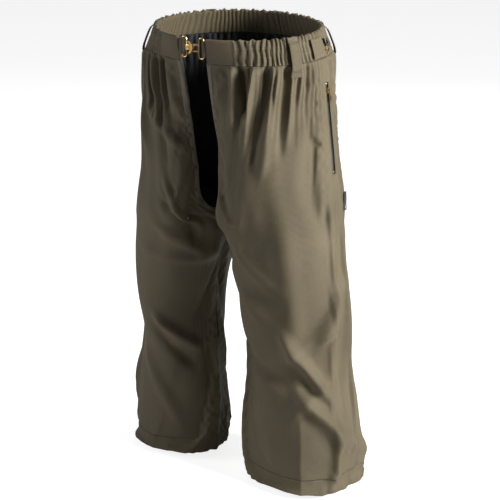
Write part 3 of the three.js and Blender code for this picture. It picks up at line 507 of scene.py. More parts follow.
shell_z = np.unique(np.round(np.r_[np.linspace(-0.766, panel_top, 240), zip_top, zip_foot], 6))
front_q = np.unique(np.round(np.r_[np.linspace(0.0012, 0.48, 150), np.linspace(0.48, 0.4933, 6), 0.5067,
                                   np.linspace(0.5067, 0.52, 6),
                                   np.linspace(0.52, side_seam + 0.0015, 9)], 6))
back_q = np.linspace(side_seam - 0.0015, 0.9988, 150)
for sign, side in ((1, "left"), (-1, "right")):
    q, z = np.meshgrid(front_q, shell_z, indexing="ij")
    t = zip_stations(q, z)
    in_slot = (np.abs(q - 0.5) < 0.0068) & (z >= zip_foot - 1e-6) & (z <= zip_top + 1e-6)
    lap = 0.0009 * ease(side_seam - 0.012, side_seam - 0.004, t)
    beside_zip = ease(zip_foot - 0.004, zip_foot, z) * ease(zip_top + 0.004, zip_top, z)
    lip = -0.0008 * np.exp(-((np.abs(q - 0.5) - 0.0067) / 0.004) ** 2) * beside_zip
    points = wall(sign, t, z, lap + lip)
    faces = grid_faces(*q.shape)
    cell_open = in_slot[:-1, :-1] & in_slot[1:, :-1] & in_slot[1:, 1:] & in_slot[:-1, 1:]
    faces = faces[~cell_open.ravel()]
    faces = faces if sign > 0 else faces[:, ::-1]
    uv = np.stack([t * 0.62, z], -1)
    panel = shell_side(piece(f"{side}_front_cloth", points, faces, uv, shell_cloth), 0.0012)
    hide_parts(f"{side}_front_panel")
    t, z = np.meshgrid(back_q, shell_z, indexing="ij")
    points = wall(sign, t, z, 0.0)
    faces = half_faces(sign, t.shape)
    panel = shell_side(piece(f"{side}_back_cloth", points, faces, np.stack([t * 0.62, z], -1),
                             shell_cloth), 0.0012)
    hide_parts(f"{side}_back_panel")

# ---------- turned hems ----------
# The shell's lower edge folded up inside once and sewn down, so the fold is rounded and twice as thick.
hem_t = np.linspace(0, 1, 301)
hem_profile = np.array([(0.0004, -0.7655), (0.0006, -0.7700), (0.0004, -0.7800), (0.0003, -0.7900),
                        (0.0000, -0.7938),
                        (-0.0008, -0.7949), (-0.0019, -0.7946), (-0.0024, -0.7925), (-0.0024, -0.7800),
                        (-0.0024, -0.7660)])
for sign, side in ((1, "left"), (-1, "right")):
    t = np.repeat(hem_t[:, None], len(hem_profile), 1)
    z = np.repeat(hem_profile[None, :, 1], len(hem_t), 0)
    out = np.repeat(hem_profile[None, :, 0], len(hem_t), 0)
    points = wall(sign, t, z, out)
    points[-1] = points[0]
    faces = grid_faces(*t.shape)
    faces = faces[:, ::-1] if sign > 0 else faces
    band = piece(f"{side}_turned_hem", points, faces, np.stack([t * 0.62, z + out], -1), shell_cloth)
    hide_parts(f"{side}_hem")

# ---------- lining ----------
# Plain black nylon hung inside each half. It shows through the open front and at the waist, and bellies
# inwards over the pads and behind the pocket.
lining_weave = woven("plain_black_nylon", (0.0035, 0.0035, 0.004), (0.010, 0.010, 0.011), 0.0011, 0.0011,
                     0.0002, 0.2, 0.6, 0.8)
lining_cloth = finish_of("lining_cloth", lining_weave, Sheen_Weight=0.08)
lining_t, lining_z = np.linspace(0.0012, 0.9988, 190), np.linspace(-0.783, panel_top - 0.0005, 190)


def inward(t, z):
    """How far the lining lies inside the shell: over the pad and behind the pocket it is pushed further in."""
    pad = ease(0.04, 0.10, t) * ease(0.34, 0.28, t) * ease(-0.757, -0.717, z) * ease(-0.110, -0.150, z)
    pocket = ease(0.34, 0.40, t) * ease(0.60, 0.54, t) * ease(-0.305, -0.265, z) * ease(-0.040, -0.060, z)
    return 0.0030 + np.maximum(0.0042 * pad, 0.00745 * pocket)


for sign, side in ((1, "left"), (-1, "right")):
    t, z = np.meshgrid(lining_t, lining_z, indexing="ij")
    loose = 0.0006 * np.sin(37 * t + 15 * z) * np.sin(29 * z + 5 * t)
    points = wall(sign, t, z, -inward(t, z) + loose)
    faces = half_faces(sign, t.shape)
    sheet = shell_side(piece(f"{side}_lining_cloth", points, faces, np.stack([t * 0.6, z], -1),
                             lining_cloth), 0.0006)
    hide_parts(f"{side}_lining")

# ---------- leg pads ----------
# Loose knitted layers between shell and lining over the front of each leg, quilted so that they can't slip.
def two_layers(shape):
    """Quads of two equal grids, the second after the first and turned over, joined by a strip round their rim."""
    index = np.arange(shape[0] * shape[1]).reshape(shape)
    loop = np.r_[index[:, 0], index[-1, 1:], index[-2::-1, -1], index[0, -2:0:-1]]
    after = np.roll(loop, -1)
    rim = np.stack([loop, loop + index.size, after + index.size, after], 1)
    return np.concatenate([grid_faces(*shape), grid_faces(*shape)[:, ::-1] + index.size, rim])


knit_weave = woven("long_fibre_knit", (0.52, 0.49, 0.40), (0.74, 0.71, 0.62), 0.0030, 0.0024, 0.0008,
                   0.3, 0.85, 0.97)
pad_layers = finish_of("pad_layers", knit_weave)
for sign, side in ((1, "left"), (-1, "right")):
    t, z = np.meshgrid(np.linspace(0.042, 0.338, 60), np.linspace(-0.756, -0.111, 130), indexing="ij")
    full = ease(0.04, 0.10, t) * ease(0.34, 0.28, t) * ease(-0.757, -0.717, z) * ease(-0.110, -0.150, z)
    channels = 0.5 + 0.5 * np.abs(np.sin(np.pi * (t - 0.04) / 0.05))
    face, back = -0.0016 - 0 * t, -0.0020 - 0.0036 * full * channels
    outer, inner = wall(sign, t, z, face), wall(sign, t, z, back)
    both = np.concatenate([outer[None], inner[None]])
    faces = two_layers(t.shape)
    faces = faces if sign > 0 else faces[:, ::-1]
    uv = np.concatenate([np.stack([t * 0.6, z], -1).reshape(-1, 2)] * 2)
    pad = piece(f"{side}_quilted_pad", both, faces, uv, pad_layers)
    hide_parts(f"{side}_leg_pad")

# ---------- pocket bags ----------
# Two layers of lining cloth behind each zip, sewn round their edge.
for sign, side in ((1, "left"), (-1, "right")):
    t, z = np.meshgrid(np.linspace(0.402, 0.537, 30), np.linspace(-0.263, -0.062, 50), indexing="ij")
    points = wall(sign, t, z, -0.0052 + 0.0003 * np.sin(60 * z + 20 * t))
    faces = half_faces(sign, t.shape)
    bag = shell_side(piece(f"{side}_pocket_cloth", points, faces, np.stack([t * 0.6, z], -1),
                           lining_cloth), 0.0012)
    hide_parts(f"{side}_pocket_bag")

# ---------- waistband ----------
# A casing of the shell cloth folded over the elastic, its top edge rounded. It is flat for a hand's width
# beside the clasp and drawn into close gathers all round the sides and back.
band_low, band_height = -0.03955, waist_top - panel_top
band_t = np.linspace(0.0012, 0.9988, 620)
band_profile = np.array([(0.0, 0.000), (0.0, 0.20), (0.0, 0.40), (0.0, 0.60), (0.0, 0.80), (0.0, 0.93),
                         (-0.0008, 0.985),
                         (-0.0031, 1.0), (-0.0053, 0.985), (-0.0061, 0.93), (-0.0061, 0.75),
                         (-0.0061, 0.50), (-0.0061, 0.25), (-0.0061, 0.0)])


def band_place(sign, t, share, out):
    """A point on the waistband's straight wall: its lower and upper edges mixed by share, moved out by out."""
    low, high = 0 * t + panel_top, 0 * t + waist_top
    _, _, n0 = directions(sign, t, low)
    _, _, n1 = directions(sign, t, high)
    p0 = cut(sign, t, low) + n0 * out[..., None]
    p1 = cut(sign, t, high) + n1 * out[..., None]
    return p0 + (p1 - p0) * share[..., None]


def gathers(sign, t, share):
    """Close uneven pleats of the elasticated part, pinched along two rows of stitching."""
    drawn = ease(0.085, 0.130, t) * ease(1.0, 0.985, t)
    phase = 2 * np.pi * (47 * t + 0.8 * np.sin(17 * t + sign) + 0.16 * np.sin(9 * share + 40 * t))
    rows = 1 - 0.45 * np.exp(-((share - 0.34) / 0.05) ** 2) - 0.45 * np.exp(-((share - 0.67) / 0.05) ** 2)
    return drawn * rows * (0.0014 * np.sin(phase) + 0.0006 * np.sin(2.3 * phase + 1) - 0.0002)


for sign, side in ((1, "left"), (-1, "right")):
    t = np.repeat(band_t[:, None], len(band_profile), 1)
    foot = (band_low - panel_top) / band_height
    share = foot + (1 - foot) * np.repeat(band_profile[None, :, 1], len(band_t), 0)
    out = np.repeat(band_profile[None, :, 0], len(band_t), 0)
    outer_face = ease(-0.0062, 0.0, out)
    bumpy = gathers(sign, t, share)
    points = band_place(sign, t, share, out + bumpy * (0.35 + 0.65 * outer_face))
    ruffle = 0.0012 * np.sin(2 * np.pi * 23 * t + sign) + 0.0007 * np.sin(2 * np.pi * 41 * t)
    points[..., 2] += ease(0.80, 1.0, share) * ruffle * ease(0.09, 0.13, t)
    faces = half_faces(sign, t.shape)
    rows, columns = t.shape
    half = columns // 2
    caps = []
    for row, turned in ((0, False), (rows - 1, True)):
        k = np.arange(half - 1)
        cap = row * columns + np.stack([k, k + 1, columns - 2 - k, columns - 1 - k], 1)
        caps.append(cap[:, ::-1] if turned == (sign > 0) else cap)
    uv = np.stack([t * 0.62 + 0.3, share * band_height + out], -1)
    band = piece(f"{side}_gathered_waistband", points, np.concatenate([faces] + caps), uv, shell_cloth)
    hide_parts(f"{side}_waistband")

# ---------- waist elastic ----------
# A black woven band inside the casing, closed all round except at the front.
elastic_weave = woven("woven_elastic", (0.006, 0.006, 0.007), (0.020, 0.020, 0.021), 0.0022, 0.0012,
                      0.0004, 0.2, 0.75, 0.9)
elastic_band = finish_of("elastic", elastic_weave)


def ring_faces(rows, around):
    """Quads between closed rings of points, ring after ring."""
    i, j = np.meshgrid(np.arange(rows - 1), np.arange(around), indexing="ij")
    k = (j + 1) % around
    return np.stack([i * around + j, i * around + k, (i + 1) * around + k, (i + 1) * around + j],
                    -1).reshape(-1, 4)


t = np.linspace(0.14, 0.999, 300)
rings = []
for share, out in ((0.10, -0.0020), (0.86, -0.0020), (0.89, -0.0030), (0.86, -0.0041), (0.10, -0.0041),
                   (0.07, -0.0030)):
    left, right = (band_place(s, t, share + 0 * t, out + 0 * t) for s in (1, -1))
    rings.append(np.concatenate([left, right[::-1]]))
points = np.stack(rings, 1)
count, around = points.shape[:2]
faces = ring_faces(count, around)[:, ::-1]
uv = np.stack(np.meshgrid(np.arange(count) * 0.002, np.arange(around) * 0.012, indexing="ij"), -1)
elastic = piece("woven_elastic_band", points, faces, uv, elastic_band)
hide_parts("waist_elastic")


def tube(path, side_axis, out_axis, half_wide, half_thick, power=2.6, around=14):
    """A soft-edged strap: a superellipse of the given half-width and half-thickness carried along a path, with
    both ends drawn closed. side_axis and out_axis are unit vectors at each point of the path."""
    angle = np.linspace(0, 2 * np.pi, around, endpoint=False)
    across = np.sign(np.cos(angle)) * np.abs(np.cos(angle)) ** (2 / power)
    through = np.sign(np.sin(angle)) * np.abs(np.sin(angle)) ** (2 / power)
    half_wide, half_thick = np.broadcast_to(half_wide, len(path)), np.broadcast_to(half_thick, len(path))
    ring = (path[:, None] + side_axis[:, None] * (across[None, :] * half_wide[:, None])[..., None]
            + out_axis[:, None] * (through[None, :] * half_thick[:, None])[..., None])
    ring = np.concatenate([path[:1, None] + 0 * ring[:1], ring, path[-1:, None] + 0 * ring[:1]])
    faces = ring_faces(len(ring), around)
    run = np.r_[0, np.cumsum(np.linalg.norm(np.diff(path, axis=0), axis=1))]
    run = np.r_[run[0], run, run[-1]]
    uv = np.stack([np.broadcast_to(across * np.max(half_wide), ring.shape[:2]),
                   np.broadcast_to(run[:, None], ring.shape[:2])], -1)
    return ring, faces, uv


def face_out(made):
    """Merges a closed piece's doubled points and turns its faces outwards."""
    work = bmesh.new()
    work.from_mesh(made.data)
    bmesh.ops.remove_doubles(work, verts=work.verts, dist=1e-6)
    bmesh.ops.recalc_face_normals(work, faces=work.faces)
    work.to_mesh(made.data)
    work.free()
    made.data.polygons.foreach_set("use_smooth", np.full(len(made.data.polygons), True))
    return made


# ---------- front bindings and crotch gusset ----------
# A folded tape of paler weave closes the raw front edges. The two tapes run down and meet in a U at the foot
# of the opening, where the gusset joins the halves.
tape_weave = woven("binding_tape", (0.080, 0.064, 0.040), (0.135, 0.112, 0.078), 0.0009, 0.0011, 0.00025,
                   0.4, 0.55, 0.7)
binding_tape = finish_of("binding_tape", tape_weave, Sheen_Weight=0.2)
for sign, side in ((1, "left"), (-1, "right")):
    z = np.linspace(panel_top - 0.0005, crotch + 0.003, 170)
    edge = wall(sign, 0.0012 + 0 * z, z)
    inner = wall(sign, 0.030 + 0 * z, z)
    across = inner - edge
    across /= np.linalg.norm(across, axis=1, keepdims=True)
    along_edge = np.gradient(edge, axis=0)
    along_edge /= np.linalg.norm(along_edge, axis=1, keepdims=True)
    out = np.cross(along_edge, across) * sign
    out /= np.linalg.norm(out, axis=1, keepdims=True)
    path = edge + across * 0.0036 - out * 0.0022
    last = np.array([[sign * 0.0002, edge[-1, 1] + 0.004, edge[-1, 2] - 0.002]])
    path = np.concatenate([path, last])
    across, out = (np.concatenate([v, v[-1:]]) for v in (across, out))
    points, faces, uv = tube(path, across, out, 0.0052, 0.0031, power=3.2, around=18)
    tape = face_out(piece(f"{side}_edge_tape", points, faces, uv, binding_tape))
    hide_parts(f"{side}_front_binding")

# The gusset: a narrow piece of shell cloth across the join, from the foot of the opening to the seat seam.
rise = np.array([0.015, 0.010, 0.005])
line = np.concatenate([cut(1, 0.0012 + 0 * rise, crotch + rise),
                       cut(1, 0.9988 + 0 * np.arange(5),
                           crotch + np.array([0.006, 0.016, 0.030, 0.048, 0.070]))])
fine = np.linspace(0, 1, 40)
weights = interpolation(fine, len(line))
line = weights @ line
half = np.maximum(0.0008, line[:, 0] - 0.0010)
lanes = np.linspace(-1, 1, 13)
points = np.stack([half[:, None] * lanes, line[:, 1, None] + 0 * lanes,
                   line[:, 2, None] - 0.0012 * (1 - lanes**2)], -1)
gusset = shell_side(piece("gusset_cloth", points, grid_faces(*points.shape[:2]),
                          np.stack(np.meshgrid(np.arange(40) * 0.003, lanes * 0.006, indexing="ij"), -1),
                          shell_cloth), 0.0012)
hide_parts("crotch_gusset")

# ---------- belt loops ----------
# Straps of folded shell cloth, stitched down both edges and bar-tacked flat at each end, standing off the
# waistband between the tacks so that a belt passes behind.
thread_weave = woven("polyester_thread", (0.075, 0.062, 0.040), (0.150, 0.128, 0.092), 0.0004, 0.0004,
                     0.0001, 0.2, 0.5, 0.65)
sewing_thread = finish_of("sewing_thread", thread_weave, Sheen_Weight=0.3)
stitches = {"left": [], "right": []}


def stitch_run(path, out, length=0.0030, gap=0.0014, radius=0.00034):
    """Thread lying on the cloth as a row of short rounded dashes along a path, each a small six-sided spindle."""
    run = np.r_[0, np.cumsum(np.linalg.norm(np.diff(path, axis=0), axis=1))]
    starts = np.arange(gap, run[-1] - length, length + gap)
    along_path = lambda s, values: np.stack([np.interp(s, run, values[:, k]) for k in range(3)], -1)
    a, b, n = (along_path(starts, path), along_path(starts + length, path),
               along_path(starts + length / 2, out))
    d = b - a
    side_axis = np.cross(d, n)
    side_axis /= np.maximum(np.linalg.norm(side_axis, axis=1, keepdims=True), 1e-9)
    angle = np.arange(6) * np.pi / 3
    shares, swell = np.array([0.0, 0.12, 0.5, 0.88, 1.0]), np.array([0.15, 0.8, 1.0, 0.8, 0.15])
    centre = a[:, None] + d[:, None] * shares[None, :, None] + n[:, None] * (radius * 0.5 * swell)[None,
                                                                                                   :, None]
    ring = (centre[:, :, None]
            + side_axis[:, None, None] * (np.cos(angle) * radius)[None, None, :, None]
            * swell[None, :, None, None]
            + n[:, None, None] * (np.sin(angle) * radius)[None, None, :, None] * swell[None, :, None, None])
    one = ring_faces(5, 6)
    ends = np.array([[5, 4, 3, 2], [5, 2, 1, 0], [24, 25, 26, 27], [24, 27, 28, 29]])
    one = np.concatenate([one, ends])
    faces = (one[None] + (np.arange(len(starts)) * 30)[:, None, None]).reshape(-1, 4)
    return ring.reshape(-1, 3), faces


def sew(side, path, out, **kind):
    """Keeps a row of stitches for the side's thread."""
    stitches[side].append(stitch_run(path, out, **kind))


def sew_on(side, sign, t, z, lift, **kind):
    """A row of stitches on a half of the garment, lifted off its cloth."""
    sew(side, wall(sign, t, z, lift + 0 * t), directions(sign, t, z)[2], **kind)


loop_run = np.array([0, 0.003, 0.007, 0.009, 0.012, 0.020, 0.031, 0.042, 0.050, 0.053, 0.055, 0.059, 0.062])
loop_lift = np.array([0.7, 0.7, 0.9, 2.6, 5.0, 5.9, 6.0, 5.9, 5.0, 2.6, 0.9, 0.7, 0.7]) / 1000 + 0.0006
for name, sign, t_loop in (("left_front_belt_loop", 1, 0.338), ("left_back_belt_loop", 1, 0.70),
                           ("right_front_belt_loop", -1, 0.338),
                           ("right_back_belt_loop", -1, 0.70), ("centre_back_belt_loop", 1, 1.0)):
    even = np.linspace(0, 0.062, 60)
    z = waist_top - 0.001 - even
    t = t_loop + 0 * z
    lift = np.interp(even, loop_run, loop_lift)
    across, _, out = directions(sign, t, np.maximum(z, -0.058))
    share = np.clip((z - panel_top) / band_height, 0, 1)
    on_band = band_place(sign, t, share, 0 * t)
    below = cut(sign, t, z)
    base = np.where((z > panel_top)[:, None], on_band,
                    below + (on_band[z > panel_top][-1] - cut(sign, t[:1], np.array([panel_top]))[0]))
    if t_loop == 1.0:
        across, out = 0 * across + [1, 0, 0], 0 * out + [0, 1, 0]
        base[:, 0] = 0
    path = base + out * lift[:, None]
    points, faces, uv = tube(path, across, out, 0.0090, 0.00075, power=5, around=20)
    strap = face_out(piece(f"{name}_strap", points, faces, uv, shell_cloth))
    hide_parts(name)
    side = "left" if sign > 0 else "right"
    for offset in (-0.0068, 0.0068):
        sew(side, path[3:-3] + across[3:-3] * offset + out[3:-3] * 0.00078, out[3:-3])
    for end in (3, 5, -6, -4):
        lane = path[end] + across[end] * np.linspace(-0.008, 0.008, 12)[:, None] + out[end] * 0.0009
        sew(side, lane, np.repeat(out[end][None], 12, 0), length=0.0011, gap=0.0002)

# ---------- clasp tabs ----------
# Cloth folded round the outer leg of each wire loop and sewn to the front end of the waistband.
def brushed(name, dark, light, scale, rough_low, rough_high, depth):
    """Metal group: fine directional scratches and slow tarnish as colour and roughness, scratches as bump."""
    group, nodes, links = new_group(name)
    end = nodes.new("NodeGroupOutput")
    coords = nodes.new("ShaderNodeTexCoord")
    stretch = nodes.new("ShaderNodeMapping")
    stretch.inputs["Scale"].default_value = (1, 1, 0.08)
    links.new(coords.outputs["Object"], stretch.inputs["Vector"])
    scratch = nodes.new("ShaderNodeTexNoise")
    scratch.inputs["Scale"].default_value = scale
    scratch.inputs["Detail"].default_value = 3
    links.new(stretch.outputs[0], scratch.inputs["Vector"])
    tarnish = nodes.new("ShaderNodeTexNoise")
    tarnish.inputs["Scale"].default_value = 160
    tarnish.inputs["Detail"].default_value = 4
    links.new(coords.outputs["Object"], tarnish.inputs["Vector"])
    mixed = maths(nodes, links, "ADD", maths(nodes, links, "MULTIPLY", scratch.outputs["Fac"], 0.4),
                  maths(nodes, links, "MULTIPLY", tarnish.outputs["Fac"], 0.6))
    ramp = nodes.new("ShaderNodeValToRGB")
    ramp.color_ramp.elements[0].position, ramp.color_ramp.elements[1].position = 0.34, 0.62
    ramp.color_ramp.elements[0].color, ramp.color_ramp.elements[1].color = (*dark, 1), (*light, 1)
    links.new(mixed, ramp.inputs["Fac"])
    links.new(ramp.outputs["Color"], end.inputs["Color"])
    rough = nodes.new("ShaderNodeMapRange")
    rough.inputs["To Min"].default_value, rough.inputs["To Max"].default_value = rough_low, rough_high
    links.new(mixed, rough.inputs["Value"])
    links.new(rough.outputs[0], end.inputs["Roughness"])
    bump = nodes.new("ShaderNodeBump")
    bump.inputs["Strength"].default_value = 0.25
    bump.inputs["Distance"].default_value = depth
    links.new(scratch.outputs["Fac"], bump.inputs["Height"])
    links.new(bump.outputs["Normal"], end.inputs["Normal"])
    return group


brass_surface = brushed("worn_brass", (0.36, 0.20, 0.055), (0.78, 0.53, 0.22), 900, 0.20, 0.40, 0.0001)
brass = finish_of("worn_brass", brass_surface, Metallic=1.0)
for sign, side in ((1, "left"), (-1, "right")):
    low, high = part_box(f"{side}_clasp_tab")
    centre = (np.array(low) + np.array(high)) / 2
    tall, thick = high[2] - low[2], high[1] - low[1]
    round_end = (high[0] if sign < 0 else low[0]) + sign * thick / 2
    flat_end = low[0] if sign < 0 else high[0]
    outer, inner = thick / 2, thick / 2 - 0.0010
    bend = np.linspace(-np.pi / 2, np.pi / 2, 19)
    outer_line = np.concatenate([[[flat_end, -outer]],
                                 np.stack([round_end - sign * outer * np.cos(bend),
                                           outer * np.sin(bend)], 1), [[flat_end, outer]]])
    inner_line = np.concatenate([[[flat_end, inner]],
                                 np.stack([round_end - sign * inner * np.cos(bend[::-1]),
                                           inner * np.sin(bend[::-1])], 1), [[flat_end, -inner]]])
    outline = np.concatenate([outer_line, inner_line])
    height = np.concatenate([[0.0], np.linspace(0.02, 0.98, 15), [1.0]])
    narrow = np.where((height < 0.01) | (height > 0.99), 0.30, 1.0)
    middle = np.concatenate([(outer_line + inner_line[::-1]) / 2,
                             ((outer_line + inner_line[::-1]) / 2)[::-1]])
    ring = middle[None] + (outline - middle)[None] * narrow[:, None, None]
    points = np.stack([ring[..., 0], centre[1] + ring[..., 1],
                       np.broadcast_to((low[2] + height * tall)[:, None], ring.shape[:2])], -1)
    rows, around = points.shape[:2]
    faces = ring_faces(rows, around)
    strip = np.arange(len(outer_line) - 1)
    lid = np.stack([strip, strip + 1, around - 2 - strip, around - 1 - strip], 1)
    faces = np.concatenate([faces, lid[:, ::-1], lid + (rows - 1) * around])
    run = np.r_[0, np.cumsum(np.linalg.norm(np.diff(outline, axis=0), axis=1))]
    uv = np.stack([np.broadcast_to(run, ring.shape[:2]), points[..., 2]], -1)
    tab = face_out(piece(f"{side}_folded_clasp_tab", points, faces, uv, shell_cloth))
    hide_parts(f"{side}_clasp_tab")
    stand = np.linspace(low[2] + 0.0015, high[2] - 0.0015, 20)
    column = np.stack([0 * stand + flat_end - sign * 0.0016, 0 * stand + low[1] - 0.0001, stand], -1)
    sew(side, column, np.broadcast_to([0.0, -1.0, 0.0], column.shape), length=0.0022, gap=0.0009)

# ---------- side tabs ----------
# A flap of doubled shell cloth on each hip, sewn along its lower and upper edges and open in front, where a
# strap can pass behind it.
for sign, side in ((1, "left"), (-1, "right")):
    q, p = np.meshgrid(np.linspace(0, 1, 40), np.linspace(0, 1, 30), indexing="ij")
    t, z = 0.43 + 0.08 * q, -0.038 + p * 0.030
    round_corner = (0.0022
                    * (np.maximum(0, (np.abs(2 * q - 1) - 0.88) / 0.12)
                       * np.maximum(0, (np.abs(2 * p - 1) - 0.86) / 0.14)))
    belly = 0.0009 * np.sin(np.pi * q) * np.sin(np.pi * p)
    outer = band_place(sign, t, (z - panel_top) / band_height, 0.0037 + belly - round_corner)
    inner = band_place(sign, t, (z - panel_top) / band_height, 0.0023 + belly * 0.8)
    faces = two_layers(t.shape)
    uv = np.concatenate([np.stack([t * 0.62 + 0.1, z], -1).reshape(-1, 2)] * 2)
    flap = face_out(piece(f"{side}_side_flap", np.concatenate([outer[None], inner[None]]), faces, uv,
                          shell_cloth))
    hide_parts(f"{side}_side_tab")
    for row in (0.10, 0.90):
        tt = np.linspace(0.4335, 0.5065, 50)
        lane = band_place(sign, tt, np.full(50, (0.002 + row * 0.030) / band_height), np.full(50, 0.0041))
        sew(side, lane, directions(sign, tt, np.full(50, -0.02))[2])

# ---------- ring straps and V rings ----------
# Each brass V ring hangs by its top bar in a fold of black webbing that is sewn to the waistband.
webbing_weave = woven("black_webbing", (0.008, 0.007, 0.006), (0.026, 0.023, 0.019), 0.0016, 0.0020,
                      0.0005, 0.3, 0.7, 0.85)
webbing = finish_of("webbing", webbing_weave, Sheen_Weight=0.15)
for sign, side in ((1, "left"), (-1, "right")):
    low, high = (np.array(v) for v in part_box(f"{side}_ring_strap"))
    _, _, out = directions(sign, np.array([0.541]), np.array([-0.022]))
    out = np.array([out[0, 0], out[0, 1], 0.0])
    out /= np.linalg.norm(out)
    across = np.cross(out, [0, 0, 1.0])
    ring_low, ring_high = (np.array(v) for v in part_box(f"{side}_v_ring"))
    bar = np.array([(ring_low[0] + ring_high[0]) / 2, (ring_low[1] + ring_high[1]) / 2, ring_high[2] - 0.001])
    turn = np.linspace(-np.pi * 0.98, 0.0, 26)
    radius = 0.00185
    fold_out, fold_up = radius * np.cos(turn), radius * np.sin(turn)
    rise = np.linspace(0, 1, 10)[1:]
    back_out, back_up = -radius - 0.0010 * rise, 0.0115 * rise
    front_out, front_up = radius - 0.0049 * ease(0.15, 1.0, rise), 0.0118 * rise
    line_out = np.concatenate([back_out[::-1], fold_out, front_out])
    line_up = np.concatenate([back_up[::-1], fold_up, front_up])
    path = bar + out * line_out[:, None] + np.array([0, 0, 1.0]) * line_up[:, None]
    way = np.gradient(path, axis=0)
    way /= np.linalg.norm(way, axis=1, keepdims=True)
    sides = np.broadcast_to(across, path.shape)
    faced = np.cross(way, sides)
    points, faces, uv = tube(path, sides, faced, 0.0034, 0.00042, power=5, around=18)
    strap = face_out(piece(f"{side}_webbing_strap", points, faces, uv, webbing))
    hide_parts(f"{side}_ring_strap")

# ---------- side label ----------
# A small folded woven label caught in the left side seam, black with one pale stripe.
label_group, nodes, links = new_group("striped_label")
end = nodes.new("NodeGroupOutput")
uv_node = nodes.new("ShaderNodeUVMap")
uv_node.uv_map = "cloth"
split = nodes.new("ShaderNodeSeparateXYZ")
links.new(uv_node.outputs[0], split.inputs[0])
base = nodes.new("ShaderNodeGroup")
base.node_tree = webbing_weave
stripe = maths(nodes, links, "LESS_THAN",
               maths(nodes, links, "ABSOLUTE",
                     maths(nodes, links, "SUBTRACT", split.outputs["X"], 0.0072), 0), 0.0011)
inside_stripe = maths(nodes, links, "LESS_THAN",
                      maths(nodes, links, "ABSOLUTE",
                            maths(nodes, links, "SUBTRACT", split.outputs["Y"], 0.0160), 0), 0.0128)
paint = nodes.new("ShaderNodeMix")
paint.data_type = "RGBA"
paint.inputs["B"].default_value = (0.55, 0.55, 0.52, 1)
links.new(maths(nodes, links, "MULTIPLY", stripe, inside_stripe), paint.inputs["Factor"])
links.new(base.outputs["Color"], paint.inputs["A"])
links.new(paint.outputs["Result"], end.inputs["Color"])
links.new(base.outputs["Roughness"], end.inputs["Roughness"])
links.new(base.outputs["Normal"], end.inputs["Normal"])
label_cloth = finish_of("striped_label", label_group)
low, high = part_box("side_label")
q, p = np.meshgrid(np.linspace(0, 1, 24), np.linspace(0, 1, 40), indexing="ij")
t, z = side_seam + 0.0042 + q * 0.0197, low[2] + 0.0004 + p * (high[2] - low[2] - 0.0008)
outer = wall(1, t, z, 0.0026 + 0.0005 * q + 0.0004 * np.sin(np.pi * p))
inner = wall(1, t, z, 0.0014 + 0.0003 * np.sin(np.pi * p))
faces = two_layers(t.shape)
uv = np.concatenate([np.stack([q * 0.012, p * 0.032], -1).reshape(-1, 2)] * 2)
label = face_out(piece("woven_side_label", np.concatenate([outer[None], inner[None]]), faces, uv,
                       label_cloth))
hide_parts("side_label")

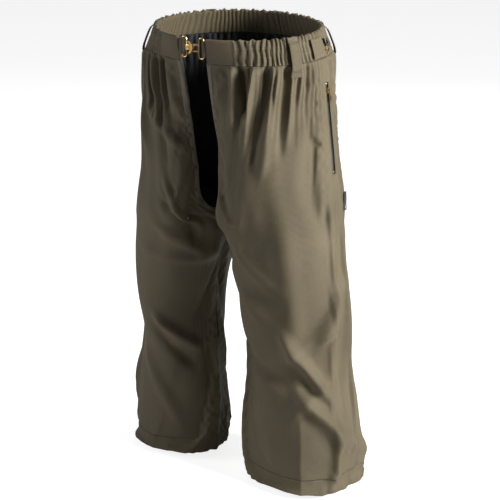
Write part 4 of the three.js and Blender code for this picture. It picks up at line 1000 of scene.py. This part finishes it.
# ---------- pocket zips ----------
# A spiral coil on woven tape behind the slot in each front panel, with moulded stops at both ends and a
# brass slider whose puller hangs from it.
zip_weave = woven("zip_tape_weave", (0.007, 0.007, 0.007), (0.020, 0.020, 0.021), 0.0008, 0.0010, 0.0003,
                  0.2, 0.6, 0.8)
zip_tape = finish_of("zip_tape", zip_weave)
coil_surface = brushed("nylon_coil", (0.008, 0.008, 0.008), (0.022, 0.022, 0.023), 700, 0.35, 0.50, 0.00005)
zip_coil = finish_of("zip_coil", coil_surface)
for sign, side in ((1, "left"), (-1, "right")):
    top, foot = (cut(sign, np.array([0.5]), np.array([zip_top]))[0],
                 cut(sign, np.array([0.5]), np.array([zip_foot]))[0])
    up = (top - foot) / np.linalg.norm(top - foot)
    _, _, lean = directions(sign, np.array([0.5]), np.array([(zip_top + zip_foot) / 2]))
    out = lean[0] - up * (lean[0] @ up)
    out /= np.linalg.norm(out)
    across = np.cross(out, up)
    length = 0.152
    s = np.linspace(0.005, -length - 0.005, 60)
    path = top + up * s[:, None] - out * 0.0035
    points, faces, uv = tube(path, np.broadcast_to(across, path.shape), np.broadcast_to(out, path.shape),
                             0.0100, 0.00030, power=7, around=20)
    tape = face_out(piece(f"{side}_woven_zip_tape", points, faces, uv, zip_tape))
    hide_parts(f"{side}_zip_tape")
    turns = 96
    phase = np.linspace(0, 2 * np.pi * turns, turns * 12)
    s = -0.004 - (length - 0.008) * np.linspace(0, 1, len(phase))
    path = top + up * s[:, None] + across * (0.00165 * np.sin(phase))[:,
                                                                      None] + out * (-0.0021
                                                                      + 0.00045 * np.cos(phase))[:, None]
    way = np.gradient(path, axis=0)
    way /= np.linalg.norm(way, axis=1, keepdims=True)
    first_side = np.cross(way, out)
    first_side /= np.linalg.norm(first_side, axis=1, keepdims=True)
    points, faces, uv = tube(path, first_side, np.cross(way, first_side), 0.00033, 0.00033, power=2, around=6)
    coil = face_out(piece(f"{side}_zip_coil", points, faces, uv, zip_coil))
    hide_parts(f"{side}_zip_teeth")
    for name, at in (("top", -0.002), ("bottom", -length + 0.002)):
        s = np.linspace(-0.0014, 0.0014, 9)
        path = top + up * (at + s)[:, None] - out * 0.0018
        taper = np.sqrt(np.clip(1 - (s / 0.00150) ** 2, 0.05, 1))
        points, faces, uv = tube(path, np.broadcast_to(across, path.shape),
                                 np.broadcast_to(out, path.shape), 0.0025 * taper ** 0.4, 0.0011 * taper,
                                 power=4, around=20)
        stop = face_out(piece(f"{side}_{name}_crimp", points, faces, uv, brass))
        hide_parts(f"{side}_zip_{name}_stop")
    for offset in (-0.0072, 0.0072):
        zz = np.linspace(zip_foot - 0.004, zip_top + 0.004, 60)
        girth = np.linalg.norm(cut(sign, 0.505 + 0 * zz, zz) - cut(sign, 0.495 + 0 * zz, zz), axis=-1) / 0.01
        tt = 0.5 + offset / girth
        sew_on(side, sign, tt, zz, 0.0002)
    for zz in (zip_foot - 0.004, zip_top + 0.004):
        tt = np.linspace(0.488, 0.512, 12)
        lane_z = np.full(12, zz)
        sew_on(side, sign, tt, lane_z, 0.0002, length=0.0014, gap=0.0005)

# ---------- brass pieces carried over ----------
# The hook and eye of the clasp, the zips' sliders and pullers and the V rings keep their shape and take the
# worn brass.
for node in ("clasp_hook", "clasp_eye", "left_zip_slider", "right_zip_slider", "left_zip_puller",
             "right_zip_puller",
             "left_v_ring", "right_v_ring"):
    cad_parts[node].data.materials.clear()
    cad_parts[node].data.materials.append(brass)

# ---------- topstitching ----------
# Rows of olive thread: round the hems, down the side seams, the inseams and the centre back, beside the
# bindings and along the waistband.
for sign, side in ((1, "left"), (-1, "right")):
    t = np.linspace(0.002, 0.998, 500)
    z = np.full(500, -0.7675)
    sew_on(side, sign, t, z, 0.0006)
    z = np.linspace(-0.7640, -0.0450, 500)
    for at in (side_seam - 0.0045, side_seam - 0.0110):
        t = at + 0 * z
        sew_on(side, sign, t, z, 0.0009)
    z = np.linspace(-0.7640, -0.4000, 260)
    for at in (0.0800, 0.0905):
        t = at + 0 * z
        sew_on(side, sign, t, z, 0.0001)
    z = np.linspace(-0.3200, -0.0450, 220)
    for at in (0.9885, 0.9800):
        t = at + 0 * z
        sew_on(side, sign, t, z, 0.0001)
    z = np.linspace(-0.3150, -0.0450, 220)
    t = 0.0155 + 0 * z
    sew_on(side, sign, t, z, 0.0006)
    t = np.linspace(0.005, 0.995, 500)
    for row in (0.045, 0.34, 0.67):
        share = np.full(500, row)
        lane = band_place(sign, t, share, gathers(sign, t, share) + 0.0002)
        keep = t > (0.0 if row < 0.1 else 0.11)
        sew(side, lane[keep], directions(sign, t, np.full(500, -0.02))[2][keep], length=0.0024, gap=0.0012)
    points = np.concatenate([p for p, _ in stitches[side]])
    counts = np.cumsum([0] + [len(p) for p, _ in stitches[side]])
    faces = np.concatenate([f + n for (_, f), n in zip(stitches[side], counts)])
    uv = np.stack([points[:, 0], points[:, 2]], -1)
    face_out(piece(f"{side}_topstitching", points, faces, uv, sewing_thread))
